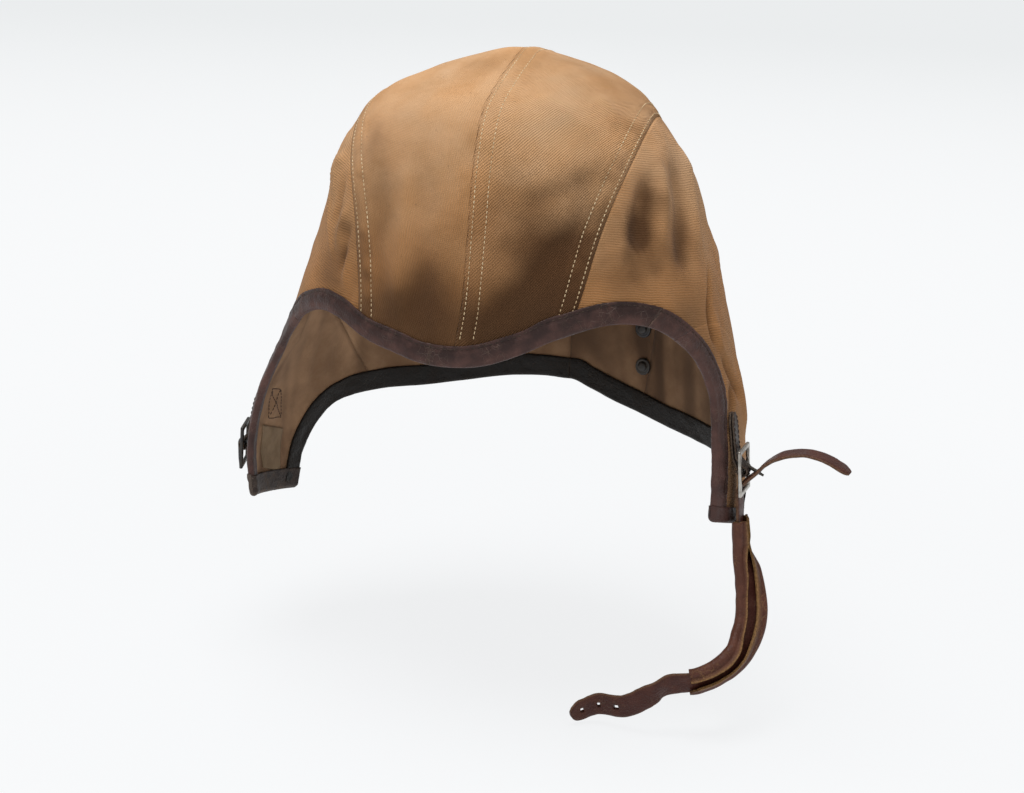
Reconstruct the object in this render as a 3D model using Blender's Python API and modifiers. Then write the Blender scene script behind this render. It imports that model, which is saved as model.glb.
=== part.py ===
"""A cloth flying helmet with leather trim, folding ear flaps, buckles and a chin strap.

Metres, +Z up. The wearer looks along -Y and the wearer's left is +X. The origin is the
inside of the crown, where the helmet rests on the head.
"""
import math

import bmesh
import bpy
from mathutils import Matrix, Vector
from mathutils.bvhtree import BVHTree

# The outer surface of the shell
SHELL_DEPTH = 0.240
SHELL_HALF_WIDTH = 0.116
SHELL_FRONT = 0.090
SHELL_BACK = 0.108
PLAN_SQUARENESS = 2.25
CROWN_SLUMP = 0.0045
SIDE_LEAN = 0.0057
LEFT_FLAP_SPREAD = 0.007
RIGHT_FLAP_SPREAD = 0.023
FLAP_TWIST = math.radians(4)

# Shares of those sizes at equal steps down the shell, from the crown to the flap tips
drop_shares = (0, 0.021, 0.058, 0.112, 0.208, 0.325, 0.454, 0.588, 0.725, 0.862, 1)
half_width_shares = (0, 0.216, 0.418, 0.595, 0.724, 0.800, 0.872, 0.922, 0.956, 0.983, 1)
front_shares = (0, 0.19, 0.40, 0.60, 0.755, 0.867, 0.933, 0.967, 0.989, 1, 1)
back_shares = (0, 0.30, 0.556, 0.73, 0.861, 0.944, 0.99, 1, 0.98, 0.935, 0.88)
slump_shares = (0, 0.2, 0.6, 1, 0.85, 0.5, 0.25, 0, 0, 0, 0)
spread_shares = (0, 0, 0, 0, 0, 0, 0.08, 0.40, 0.86, 1, 0.74)
twist_shares = (0, 0, 0, 0, 0, 0, 0.15, 0.8, 1, 1, 1)

# The cut edges of the left side and of the right, from the centre to a flap tip: degrees round
# from the brow or from the nape, and the share of the way down the shell
front_edge_shares = {
    1: (
        (0, 0.686), (8, 0.681), (16, 0.665), (24.5, 0.643), (36, 0.625), (46, 0.6265),
        (56.5, 0.648), (67.5, 0.695), (73, 0.752), (72.5, 0.812), (71.5, 0.876), (71, 0.940),
    ),
    -1: (
        (0, 0.686), (8, 0.683), (16, 0.671), (24.5, 0.658), (36, 0.634), (46, 0.631),
        (56, 0.652), (64, 0.695), (68, 0.75), (70, 0.812), (70.5, 0.885), (71, 0.963),
    ),
}
nape_edge_shares = {
    1: (
        (0, 0.846), (7, 0.861), (14, 0.878), (20, 0.889), (30, 0.906), (40, 0.916),
        (50, 0.922), (59, 0.927), (64, 0.932), (68, 0.944), (71, 0.968), (73, 1.0),
    ),
    -1: (
        (0, 0.846), (7, 0.843), (14, 0.843), (20, 0.845), (30, 0.852), (40, 0.857),
        (50, 0.857), (59, 0.863), (64.5, 0.876), (69.5, 0.908), (74.5, 0.95), (78, 0.995),
    ),
}
SEAM_PLACE = 3.3
TIP_PLACE = len(front_edge_shares[1]) - 1

# Layers, from the outside in
CLOTH = 0.0012
SEAM_TAPE = 0.0005
LINING = 0.0008
LAYER_GAP = 0.0003
SHELL_THICKNESS = CLOTH + SEAM_TAPE + LINING + 2 * LAYER_GAP

# Leather trim wrapped over the cut edges
TRIM = 0.001
TRIM_GAP = 0.0003
FRONT_TRIM_WIDTH = 0.0085
NAPE_TRIM_WIDTH = 0.013
TIP_TRIM_WIDTH = 0.010
TRIM_OFFSET = TRIM_GAP + TRIM / 2
TAPE_EDGE_PLACE = 0.36
BROW_JOIN_RIGHT_PLACE = 0.75
BROW_JOIN_LEFT_ROW = 5
SIDE_ROWS = 14
LINE_STEPS = 10

# The line that an ear flap folds along, between these places on the two cut edges
FOLD_FRONT_PLACE = 7.45
FOLD_NAPE_PLACE = 8.3
FOLD_STAND_OFF = 0.003
FOLD_GAP = 0.0008
FOLD_FORWARD_REACH = 0.012
FOLD_INWARD_LIMIT = math.radians(8)

# Buckles: a frame with a centre bar, hung on the bar by a folded leather chape
LEFT_BUCKLE_AZIMUTH = math.radians(81.4)
RIGHT_BUCKLE_AZIMUTH = math.radians(81)
LEFT_BUCKLE_PLACE_share = 0.877
RIGHT_BUCKLE_PLACE_share = 0.900
LEFT_BUCKLE_HEIGHT = 0.0056
RIGHT_BUCKLE_HEIGHT = 0.0051
BUCKLE_TURN = math.radians(8)
FRAME_LENGTH = 0.023
FRAME_WIDTH = 0.020
FRAME_THICKNESS = 0.0018
FRAME_RAIL = 0.0024
FRAME_BAR = 0.0022
FRAME_BEVEL = 0.0004
CHAPE = 0.0012
CHAPE_WIDTH = 0.009
CHAPE_LENGTH = 0.028
CHAPE_FOLLOW_STEPS = 3
BAR_CLEARANCE = 0.00035
TONGUE_WIRE = 0.0018
TONGUE_LENGTH = 0.013
TONGUE_SIDE_PLAY = 0.0008
LEFT_TONGUE_TURN = math.radians(60)
RIGHT_TONGUE_TURN = math.radians(-3)

# The chin strap, its folded sleeve and its punched holes
STRAP = 0.0018
STRAP_WIDTH = 0.013
STRAP_STAND_OFF = 0.0034
STRAP_HANG = 0.120
TAIL_REACH = 0.050
STRAP_BEND_GAP = 0.0009
STRAP_HOLE = 0.0032
SLEEVE = 0.0012
SLEEVE_GAP = 0.0005
SLEEVE_LIP = 0.0045
STRAP_STEPS = 3

# The hanging strap from below the buckle: back, up and out as shares of its hang, with the
# direction of its width at each point
strap_hang_shares = (
    (0, -0.04, 0, (-1, 0, 0)),
    (-0.01, -0.087, 0.02, (-1, 0, 0)),
    (-0.035, -0.149, 0.05, (-1, 0, 0.15)),
    (-0.075, -0.236, 0.075, (-0.9, 0, 0.4)),
    (-0.12, -0.308, 0.085, (-0.8, 0.15, 0.6)),
    (-0.17, -0.378, 0.075, (-0.7, 0.35, 0.6)),
    (-0.225, -0.438, 0.045, (-0.6, 0.6, 0.5)),
    (-0.275, -0.488, -0.015, (-0.5, 0.8, 0.3)),
    (-0.31, -0.528, -0.095, (-0.4, 0.9, 0.2)),
    (-0.325, -0.553, -0.195, (-0.3, 0.95, 0.1)),
    (-0.36, -0.588, -0.255, (-0.3, 0.95, 0.05)),
    (-0.345, -0.663, -0.365, (-0.25, 0.95, 0)),
    (-0.325, -0.678, -0.475, (-0.25, 0.95, 0)),
    (-0.35, -0.703, -0.54, (-0.25, 0.95, 0)),
    (-0.385, -0.718, -0.58, (-0.25, 0.95, 0)),
)
hole_place_shares = (0.84, 0.9, 0.96)
sleeve_end_share = 0.58

# The strap's tail beyond the bar: up and out as shares of its reach
tail_reach_shares = (
    (0.03, 0.185), (0.088, 0.25), (0.168, 0.414), (0.192, 0.62), (0.148, 0.82), (0.084, 0.94),
    (0.02, 1.02),
)

# Press studs on the lining behind the wearer's left ear
STUD_RADII = (0.0050, 0.0047)
STUD_HEIGHT = 0.0024
STUD_AZIMUTH = math.radians(157)
stud_place_shares = (0.752, 0.817)
STUD_GAP = 0.0008

HALF_share = 0.5
SEGMENTS = 24


def clear_scene():
    for obj in list(bpy.data.objects):
        bpy.data.objects.remove(obj, do_unlink=True)


def collection(name):
    group = bpy.data.collections.new(name)
    bpy.context.scene.collection.children.link(group)
    return group


def material(name, colour, roughness, metallic=0.0):
    """A Principled material of one colour."""
    made = bpy.data.materials.new(name)
    made.use_nodes = True
    shader = made.node_tree.nodes["Principled BSDF"]
    shader.inputs["Base Color"].default_value = (*colour, 1)
    shader.inputs["Roughness"].default_value = roughness
    shader.inputs["Metallic"].default_value = metallic
    return made


clear_scene()
HELMET = collection("flying_helmet")
CUTTERS = collection("cutters")
TAN_CLOTH = material("tan_cloth", (0.32, 0.19, 0.10), 0.85)
BROWN_LINING = material("brown_lining", (0.13, 0.085, 0.06), 0.85)
TAPE_CLOTH = material("tape_cloth", (0.28, 0.20, 0.13), 0.9)
DARK_LEATHER = material("dark_leather", (0.045, 0.032, 0.032), 0.5)
BLACK_LEATHER = material("black_leather", (0.018, 0.016, 0.017), 0.45)
STRAP_LEATHER = material("strap_leather", (0.075, 0.03, 0.022), 0.5)
SLEEVE_LEATHER = material("sleeve_leather", (0.13, 0.06, 0.035), 0.55)
WHITE_METAL = material("white_metal", (0.62, 0.6, 0.57), 0.35, 1.0)
BLACKED_STEEL = material("blacked_steel", (0.05, 0.05, 0.055), 0.4, 1.0)


def spline(before, start, end, after, t):
    """Catmull-Rom value between start and end."""
    return HALF_share * (
        2 * start + (end - before) * t + (2 * before - 5 * start + 4 * end - after) * t**2
        + (3 * start - before - 3 * end + after) * t**3
    )


def share_at(shares, place, mirror=-1):
    """Smooth value of a table of shares at a place counted in its steps."""
    last = len(shares) - 1
    step = max(0, min(int(place), last - 1))
    before = shares[step - 1] if step else mirror * shares[1]
    after = shares[step + 2] if step + 2 <= last else 2 * shares[last] - shares[last - 1]
    return spline(before, shares[step], shares[step + 1], after, place - step)


def shell_point(across, back):
    """The outer surface at a place on the pattern, in shares of the way down the shell."""
    station = math.hypot(across, back) * (len(drop_shares) - 1)
    azimuth = math.atan2(across, -back) - FLAP_TWIST * share_at(twist_shares, station, 0)
    side, rear = math.sin(azimuth), -math.cos(azimuth)
    reach = (abs(side) ** PLAN_SQUARENESS + abs(rear) ** PLAN_SQUARENESS) ** (1 / PLAN_SQUARENESS)
    side, rear = side / reach, rear / reach
    spread = LEFT_FLAP_SPREAD if side > 0 else RIGHT_FLAP_SPREAD
    half_width = SHELL_HALF_WIDTH * share_at(half_width_shares, station)
    drop_share = share_at(drop_shares, station, 1)
    lean = SIDE_LEAN * side * half_width / SHELL_HALF_WIDTH * (HALF_share + drop_share)
    if rear < 0:
        depth = SHELL_FRONT * share_at(front_shares, station)
    else:
        depth = SHELL_BACK * share_at(back_shares, station)
    slump = CROWN_SLUMP * share_at(slump_shares, station, 1)
    return Vector((
        side * (half_width + spread * share_at(spread_shares, station, 0) * side**2) - slump,
        rear * depth,
        SHELL_THICKNESS - SHELL_DEPTH * drop_share + lean,
    ))


def on_shell(pattern, height):
    """A point at a height above the outer surface, square to it."""
    across, back = pattern
    nudge_share = 0.0005
    over = shell_point(across + nudge_share, back) - shell_point(across - nudge_share, back)
    along = shell_point(across, back + nudge_share) - shell_point(across, back - nudge_share)
    return shell_point(across, back) + over.cross(along).normalized() * height


def edge_at(rows, place):
    """Degrees and share of the way down, at a place along a cut edge."""
    angles = tuple(row[0] for row in rows)
    downs = tuple(row[1] for row in rows)
    return math.radians(share_at(angles, place)), share_at(downs, place, 1)


def pattern_point(side, place, across_share):
    """A place on the pattern of one side of the helmet, from the front edge to the nape."""
    front_angle, front_down = edge_at(front_edge_shares[side], place)
    nape_angle, nape_down = edge_at(nape_edge_shares[side], place)
    front = Vector((math.sin(front_angle), -math.cos(front_angle))) * front_down
    nape = Vector((math.sin(nape_angle), math.cos(nape_angle))) * nape_down
    straight = front.lerp(nape, across_share)
    angle = front_angle + (math.pi - nape_angle - front_angle) * across_share
    down = front_down + (nape_down - front_down) * across_share
    arched = Vector((math.sin(angle), -math.cos(angle))) * down
    ramp = max(0.0, min(1.0, (place - SEAM_PLACE) / (TIP_PLACE - SEAM_PLACE)))
    across, back = straight.lerp(arched, ramp * ramp * (3 - 2 * ramp))
    return side * across, back


def line_share(side, place, edge, distance):
    """How far along the line across the pattern a distance in from the edge reaches."""
    nudge_share = 0.001
    start = shell_point(*pattern_point(side, place, edge))
    along = shell_point(*pattern_point(side, place, edge + nudge_share)) - start
    round_edge = shell_point(*pattern_point(side, place + nudge_share, edge)) - start
    speed = along.cross(round_edge).length / round_edge.length / nudge_share
    return edge + (distance if edge == 0 else -distance) / speed


def line_stops(side, place):
    """Where the rows of a panel cross one line: at the trims' edges and evenly between."""
    first = line_share(side, place, 0, FRONT_TRIM_WIDTH)
    last = line_share(side, place, 1, NAPE_TRIM_WIDTH)
    middle = [first + (last - first) * step / LINE_STEPS for step in range(LINE_STEPS + 1)]
    return [0, *middle, 1]


def tip_trim_place(side):
    """The place where the trim of a flap's tip ends."""
    tip = shell_point(*pattern_point(side, TIP_PLACE, HALF_share))
    above = shell_point(*pattern_point(side, TIP_PLACE - 1, HALF_share))
    return TIP_PLACE - TIP_TRIM_WIDTH / (tip - above).length


def crown_places():
    half = [0, TAPE_EDGE_PLACE, BROW_JOIN_RIGHT_PLACE]
    return [*half, SEAM_PLACE * HALF_share, *[SEAM_PLACE - place for place in reversed(half)]]


def side_places(side):
    last = tip_trim_place(side)
    rows = [SEAM_PLACE + (last - SEAM_PLACE) * row / SIDE_ROWS for row in range(SIDE_ROWS + 1)]
    return [SEAM_PLACE, SEAM_PLACE + TAPE_EDGE_PLACE, *rows[1:], TIP_PLACE]


def places_above_fold(side):
    return [place for place in side_places(side) if place <= FOLD_NAPE_PLACE + 1]


def places_below_fold(side):
    return [place for place in side_places(side) if place >= FOLD_FRONT_PLACE - 1]


def panel_points(side, places, height):
    """Rows of points on the shell, one for each place, each from the front edge to the nape."""
    return [
        [on_shell(pattern_point(side, place, stop), height) for stop in line_stops(side, place)]
        for place in places
    ]


def moved_toward(row, other, distance):
    return [point + (target - point).normalized() * distance for point, target in zip(row, other)]


def mapped_grid(name, points, thickness, finish, diagonals="SHORT_EDGE"):
    """A sheet through rows of points, with the thickness shared between its two sides."""
    rows, columns = len(points) - 1, len(points[0]) - 1
    mesh = bpy.data.meshes.new(name)
    grid = bmesh.new()
    bmesh.ops.create_grid(grid, x_segments=columns, y_segments=rows, size=HALF_share)
    for vert in grid.verts:
        column, row = round((vert.co.x + HALF_share) * columns), round((vert.co.y + HALF_share) * rows)
        vert.co = points[row][column]
    bmesh.ops.triangulate(grid, faces=grid.faces[:], quad_method=diagonals)
    grid.to_mesh(mesh)
    grid.free()
    obj = bpy.data.objects.new(name, mesh)
    obj.data.materials.append(finish)
    HELMET.objects.link(obj)
    solid = obj.modifiers.new("thickness", "SOLIDIFY")
    solid.thickness = thickness
    solid.offset = 0
    solid.use_even_offset = True
    return obj


def block(name, size, matrix):
    """A cutter: a box of the given size, placed by a matrix."""
    mesh = bpy.data.meshes.new(name)
    box = bmesh.new()
    bmesh.ops.create_cube(box, size=1)
    bmesh.ops.scale(box, vec=size, verts=box.verts)
    box.to_mesh(mesh)
    box.free()
    obj = bpy.data.objects.new(name, mesh)
    obj.matrix_world = matrix
    obj.hide_render = True
    obj.display_type = "WIRE"
    CUTTERS.objects.link(obj)
    return obj


def cut(obj, cutter):
    """Take the cutter's shape out of a piece."""
    boolean = obj.modifiers.new(cutter.name, "BOOLEAN")
    boolean.operation = "DIFFERENCE"
    boolean.object = cutter


class Fold:
    """The fold line of one ear flap, with the two planes that part the flap from the side."""

    def __init__(self, side, label):
        front = shell_point(*pattern_point(side, FOLD_FRONT_PLACE, 0))
        nape = shell_point(*pattern_point(side, FOLD_NAPE_PLACE, 1))
        middle = shell_point(*pattern_point(side, (FOLD_FRONT_PLACE + FOLD_NAPE_PLACE) / 2, HALF_share))
        outermost = max(abs(point.x) for point in (front, nape, middle))
        self.axis = Vector((0, nape.y - front.y, nape.z - front.z)).normalized()
        self.point = (front + nape) / 2
        self.point.x = side * (outermost + FOLD_STAND_OFF)
        start = front - self.axis * FOLD_FORWARD_REACH
        self.below = self.half_space(f"below_fold_{label}", side, -1, 0, start)
        start = front - self.axis * SHELL_FRONT
        self.above = self.half_space(f"above_fold_{label}", side, 1, FOLD_INWARD_LIMIT, start)

    def half_space(self, name, side, direction, tilt, start):
        """A box on one side of the plane through the fold line, tilted down toward the head."""
        upward = Vector((1, 0, 0)).cross(self.axis)
        inward = Vector((-side * math.cos(tilt), 0, 0)) - upward * math.sin(tilt)
        normal = self.axis.cross(inward) * side
        basis = Matrix((-inward * side, self.axis, normal)).transposed().to_4x4()
        size = Vector((SHELL_HALF_WIDTH, SHELL_DEPTH, SHELL_DEPTH))
        outboard = FRAME_LENGTH
        centre = self.point + self.axis * ((start - self.point).dot(self.axis) + size.y / 2)
        centre += normal * direction * (size.z - FOLD_GAP) / 2
        centre += inward * (size.x / 2 - outboard)
        return block(name, size, Matrix.Translation(centre) @ basis)


def make_panels(side, label, fold):
    """Outer cloth and lining of one side: crown panel, side panel and ear flap."""
    cloth_middle = -CLOTH / 2
    lining_middle = -SHELL_THICKNESS + LINING / 2
    upper, flap = places_above_fold(side), places_below_fold(side)
    for kind, height, thickness, finish in (
        ("panel", cloth_middle, CLOTH, TAN_CLOTH),
        ("lining", lining_middle, LINING, BROWN_LINING),
    ):
        crown = panel_points(side, crown_places(), height)
        crown[0] = moved_toward(crown[0], crown[1], LAYER_GAP / 2)
        crown[-1] = moved_toward(crown[-1], crown[-2], LAYER_GAP / 2)
        mapped_grid(f"crown_{kind}_{label}", crown, thickness, finish)
        lower = panel_points(side, upper, height)
        lower[0] = moved_toward(lower[0], lower[1], LAYER_GAP / 2)
        cut(mapped_grid(f"side_{kind}_{label}", lower, thickness, finish), fold.below)
        hanging = panel_points(side, flap, height)
        cut(mapped_grid(f"ear_flap_{kind}_{label}", hanging, thickness, finish), fold.above)


def make_seam_tapes():
    """Tapes behind the centre seam and the two side seams, stopping short of the trim."""
    height = -CLOTH - LAYER_GAP - SEAM_TAPE / 2
    centre = []
    for side, label in ((1, "left"), (-1, "right")):
        crown = [row[1:-1] for row in panel_points(side, crown_places(), height)]
        below = panel_points(side, side_places(side)[1:2], height)[0][1:-1]
        mapped_grid(f"seam_tape_{label}", [*crown[-2:], below], SEAM_TAPE, TAPE_CLOTH)
        centre.append(crown[1])
    mapped_grid("seam_tape_centre", [centre[0], crown[0], centre[1]], SEAM_TAPE, TAPE_CLOTH)


def trim_section(width):
    """The trim's cross-section: distance in from the cut edge, and height above the cloth."""
    inner = -SHELL_THICKNESS
    roll = TRIM_OFFSET / 2
    return (
        (width, TRIM_OFFSET),
        (-roll, TRIM_OFFSET),
        (-3 * roll, -roll / 2),
        (-3 * roll, inner + roll / 2),
        (-roll, inner - TRIM_OFFSET),
        (width, inner - TRIM_OFFSET),
    )


def edge_trim(name, signed_places, edge, width, finish):
    """Trim folded over a cut edge, through places counted from the centre, right negative."""
    points = []
    for signed in signed_places:
        side, place = (1 if signed >= 0 else -1), abs(signed)
        points.append([
            on_shell(pattern_point(side, place, line_share(side, place, edge, inward)), height)
            for inward, height in trim_section(width)
        ])
    return points, name, finish


def trimmed(points, name, finish, start_gap=0.0, end_gap=0.0):
    """The trim as a solid, drawn back a little from the trims that it meets."""
    points[0] = moved_toward(points[0], points[1], start_gap)
    points[-1] = moved_toward(points[-1], points[-2], end_gap)
    return mapped_grid(name, points, TRIM, finish)


def make_trims(folds):
    """Trim round the brow, the temples, the flaps and the nape."""
    gap = LAYER_GAP / 2
    upper = {side: [*crown_places(), *places_above_fold(side)[1:]] for side in (1, -1)}
    left_join = side_places(1)[BROW_JOIN_LEFT_ROW]
    brow = [-place for place in upper[-1] if 0 < place <= BROW_JOIN_RIGHT_PLACE][::-1]
    brow += [place for place in upper[1] if place <= left_join]
    trimmed(*edge_trim("brow_trim", brow, 0, FRONT_TRIM_WIDTH, DARK_LEATHER), gap, gap)
    for side, label in ((1, "left"), (-1, "right")):
        start = left_join if side == 1 else BROW_JOIN_RIGHT_PLACE
        front = (0, FRONT_TRIM_WIDTH, DARK_LEATHER)
        back = (1, NAPE_TRIM_WIDTH, BLACK_LEATHER)
        temple = [side * place for place in upper[side] if place >= start]
        flap = [side * place for place in places_below_fold(side)[:-1]]
        cut(trimmed(*edge_trim(f"temple_trim_{label}", temple, *front), gap), folds[side].below)
        for name, edge in (("front", front), ("back", back)):
            strip = edge_trim(f"flap_{name}_trim_{label}", flap, *edge)
            cut(trimmed(*strip, 0, 2 * gap), folds[side].above)
    nape = [-place for place in upper[-1] if place > 0][::-1] + upper[1]
    nape_band = trimmed(*edge_trim("nape_band", nape, 1, NAPE_TRIM_WIDTH, BLACK_LEATHER))
    for side in (1, -1):
        cut(nape_band, folds[side].below)


def make_flap_tip(side, label):
    """Trim over the bottom edge of an ear flap, covering the ends of the other two."""
    last = tip_trim_place(side)
    overrun = 3 * TRIM_OFFSET / 2
    stops = line_stops(side, last)
    stops = [
        line_share(side, last, 0, -overrun), *stops, line_share(side, last, 1, -overrun),
    ]
    points = []
    for stop in stops:
        points.append([
            on_shell(
                pattern_point(side, TIP_PLACE - (TIP_PLACE - last) * inward / TIP_TRIM_WIDTH, stop),
                height,
            )
            for inward, height in trim_section(TIP_TRIM_WIDTH)
        ])
    mapped_grid(f"flap_tip_trim_{label}", points, TRIM, DARK_LEATHER)


class BuckleSeat:
    """The rigid frame of reference of one buckle, at the middle of its centre bar.

    The left buckle is turned toward the nape and the right one toward the brow.
    """

    def __init__(self, side):
        if side > 0:
            angle, place_share = LEFT_BUCKLE_AZIMUTH, LEFT_BUCKLE_PLACE_share
            self.height = LEFT_BUCKLE_HEIGHT
        else:
            angle, place_share = -RIGHT_BUCKLE_AZIMUTH, RIGHT_BUCKLE_PLACE_share
            self.height = RIGHT_BUCKLE_HEIGHT
        pattern = (math.sin(angle) * place_share, -math.cos(angle) * place_share)
        self.side = side
        self.pattern = Vector(pattern)
        self.foot = shell_point(*pattern)
        square = (on_shell(pattern, self.height) - self.foot).normalized()
        self.bar = self.foot + square * self.height
        self.up = (Vector((0, 0, 1)) - square * square.z).normalized()
        self.flat_rear = self.up.cross(square) * side
        self.flat_out = square
        turn = side * BUCKLE_TURN
        self.out = square * math.cos(turn) + self.flat_rear * math.sin(turn)
        self.rear = self.up.cross(self.out) * side

    def at(self, rear, up, out):
        """World place of a point given by distances back, up and out, turned with the buckle."""
        return self.bar + self.rear * rear + self.up * up + self.out * (out - self.height)

    def flat_at(self, rear, up, out):
        """The same place before the turn, square to the flap's face."""
        return self.foot + self.flat_rear * rear + self.up * up + self.flat_out * out

    def on_flap(self, rear, up, height):
        """World place at a height above the cloth, where it curves away above the foot."""
        shrink = 1 - up / self.pattern.length / self.slope()
        return on_shell(self.pattern * shrink, height) + self.flat_rear * rear

    def slope(self):
        """Metres down the shell for each share of the way down the pattern."""
        nudge_share = 0.01
        above = shell_point(*self.pattern * (1 - nudge_share))
        return (self.foot - above).length / self.pattern.length / nudge_share

    def matrix(self, up=0.0, out=0.0):
        """Local X runs out, Y runs up and Z runs across the buckle."""
        across = self.out.cross(self.up)
        turn = Matrix((self.out, self.up, across)).transposed().to_4x4()
        return Matrix.Translation(self.at(0, up, out)) @ turn


def make_buckle_frame(seat, label, finish):
    """A rectangular frame with a centre bar, cut from a plate and rounded."""
    mesh = bpy.data.meshes.new(f"buckle_frame_{label}")
    plate = bmesh.new()
    bmesh.ops.create_cube(plate, size=1)
    bmesh.ops.scale(
        plate, vec=(FRAME_THICKNESS, FRAME_LENGTH, FRAME_WIDTH), verts=plate.verts,
    )
    plate.to_mesh(mesh)
    plate.free()
    obj = bpy.data.objects.new(mesh.name, mesh)
    obj.matrix_world = seat.matrix(out=seat.height)
    obj.data.materials.append(finish)
    HELMET.objects.link(obj)
    window = (FRAME_LENGTH - FRAME_BAR) / 2 - FRAME_RAIL
    size = (2 * FRAME_THICKNESS, window, FRAME_WIDTH - 2 * FRAME_RAIL)
    for direction, part in ((1, "upper"), (-1, "lower")):
        place = seat.matrix(direction * (FRAME_BAR + window) / 2, seat.height)
        cut(obj, block(f"{part}_window_{label}", size, place))
    rounding = obj.modifiers.new("rounding", "BEVEL")
    rounding.width = FRAME_BEVEL
    rounding.segments = 1
    rounding.limit_method = "ANGLE"
    return obj


def loop_radius():
    """Inner radius of what turns on the centre bar."""
    return math.hypot(FRAME_BAR, FRAME_THICKNESS) / 2 + BAR_CLEARANCE


def make_chape(seat, label):
    """A leather tab folded round the centre bar, both layers stitched to the flap above it."""
    under = TRIM_GAP + CHAPE / 2
    over = under + CHAPE + LAYER_GAP
    radius = loop_radius() + CHAPE / 2
    start = 4 * radius
    follow = [
        start + (CHAPE_LENGTH - start) * step / CHAPE_FOLLOW_STEPS
        for step in range(1, CHAPE_FOLLOW_STEPS + 1)
    ]
    loop = []
    for step in range(10):
        angle = math.radians(-75 - 30 * step)
        loop.append((radius * math.cos(angle), seat.height + radius * math.sin(angle)))
    points = []
    for reach, place in (
        *[(seat.on_flap, (up, under)) for up in reversed(follow)],
        (seat.flat_at, (3 * radius, under)),
        (seat.flat_at, (2 * radius, under + CHAPE / 2)),
        *[(seat.at, pair) for pair in loop],
        (seat.flat_at, (5 * radius / 2, over + CHAPE / 2)),
        (seat.flat_at, (start, over)),
        *[(seat.on_flap, (up, over)) for up in follow],
    ):
        points.append([reach(rear, *place) for rear in (-CHAPE_WIDTH / 2, CHAPE_WIDTH / 2)])
    chape = mapped_grid(f"chape_{label}", points, CHAPE, DARK_LEATHER)
    slot_width = TONGUE_WIRE + 2 * TONGUE_SIDE_PLAY
    slot_length = 3 * radius + CHAPE
    slot_depth = 4 * radius
    lowest = -radius - CHAPE
    place = seat.matrix(slot_length / 2 + lowest, seat.height + slot_depth / 2 + lowest)
    cut(chape, block(f"tongue_slot_{label}", (slot_depth, slot_length, slot_width), place))


def tongue_path(turn):
    """A tongue's wire, up and out from the bar: an open eye, then the prong."""
    radius = loop_radius() + TONGUE_WIRE / 2
    along = Vector((-math.cos(turn), math.sin(turn)))
    foot_angle = math.atan2(-along.x, along.y)
    path = []
    for step in range(11):
        angle = foot_angle - math.radians(270 - 27 * step)
        path.append(Vector((math.cos(angle), math.sin(angle))) * radius)
    foot = path[-1]
    return [*path, foot + along * TONGUE_LENGTH / 2, foot + along * TONGUE_LENGTH]


def make_tongue(seat, label, turn, finish):
    """A wire tongue with an open eye round the centre bar, turned out from lying flat."""
    path = tongue_path(turn)
    curve = bpy.data.curves.new(f"buckle_tongue_{label}", "CURVE")
    curve.dimensions = "3D"
    curve.bevel_depth = TONGUE_WIRE / 2
    curve.bevel_resolution = 1
    curve.use_fill_caps = True
    line = curve.splines.new("POLY")
    line.points.add(len(path) - 1)
    for point, (up, out) in zip(line.points, path):
        point.co = (*seat.at(0, up, seat.height + out), 1)
    curve.materials.append(finish)
    obj = bpy.data.objects.new(curve.name, curve)
    HELMET.objects.link(obj)
    return obj


def smooth_path(points, steps):
    """Points along a Catmull-Rom curve through the given ones, some to each stretch."""
    path = []
    for index in range(len(points) - 1):
        start, end = points[index], points[index + 1]
        before = points[index - 1] if index else 2 * start - end
        after = points[index + 2] if index + 2 < len(points) else 2 * end - start
        path += [spline(before, start, end, after, step / steps) for step in range(steps)]
    return [*path, points[-1]]


def strap_rows(path, across):
    """The middle of a strap, the direction of its width and that of its face, at each step."""
    rows = []
    for step, (centre, width) in enumerate(zip(path, across)):
        ahead = path[min(step + 1, len(path) - 1)] - path[max(step - 1, 0)]
        face = width.cross(ahead).normalized()
        width = ahead.cross(face).normalized()
        rows.append((centre, width, face))
    return rows


def running_lengths(path):
    lengths = [0.0]
    for start, end in zip(path, path[1:]):
        lengths.append(lengths[-1] + (end - start).length)
    return lengths


def flat_strap(name, path, across, finish):
    """A strap with a rounded free end."""
    lengths = running_lengths(path)
    points = []
    for (centre, width, _), length in zip(strap_rows(path, across), lengths):
        inset_share = 1 - (lengths[-1] - length) / (STRAP_WIDTH / 2)
        half = STRAP_WIDTH / 2 * math.sqrt(1 - max(0.0, inset_share) ** 2 * 0.9)
        points.append([centre - width * half, centre, centre + width * half])
    return mapped_grid(name, points, STRAP, finish, "FIXED")


def round_ended(path, across):
    """The path with extra points close to its end, where the strap is rounded."""
    last, before = path[-1], path[-2]
    direction = (last - before).normalized()
    extra = [last - direction * STRAP_WIDTH / 2 * share for share in (0.9, 0.6, 0.3, 0.1, 0)]
    kept = [point for point in path[:-1] if (last - point).length > STRAP_WIDTH / 2]
    return kept + extra, [*across[:len(kept)], *[across[-1]] * len(extra)]


def drill(obj, centre, direction, radius, name):
    """A round hole through a strap."""
    mesh = bpy.data.meshes.new(name)
    pin = bmesh.new()
    bmesh.ops.create_cone(
        pin, cap_ends=True, segments=SEGMENTS // 2, radius1=radius, radius2=radius,
        depth=4 * STRAP,
    )
    pin.to_mesh(mesh)
    pin.free()
    cutter = bpy.data.objects.new(name, mesh)
    turn = direction.to_track_quat("Z", "Y").to_matrix().to_4x4()
    cutter.matrix_world = Matrix.Translation(centre) @ turn
    cutter.hide_render = True
    cutter.display_type = "WIRE"
    CUTTERS.objects.link(cutter)
    cut(obj, cutter)


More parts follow.
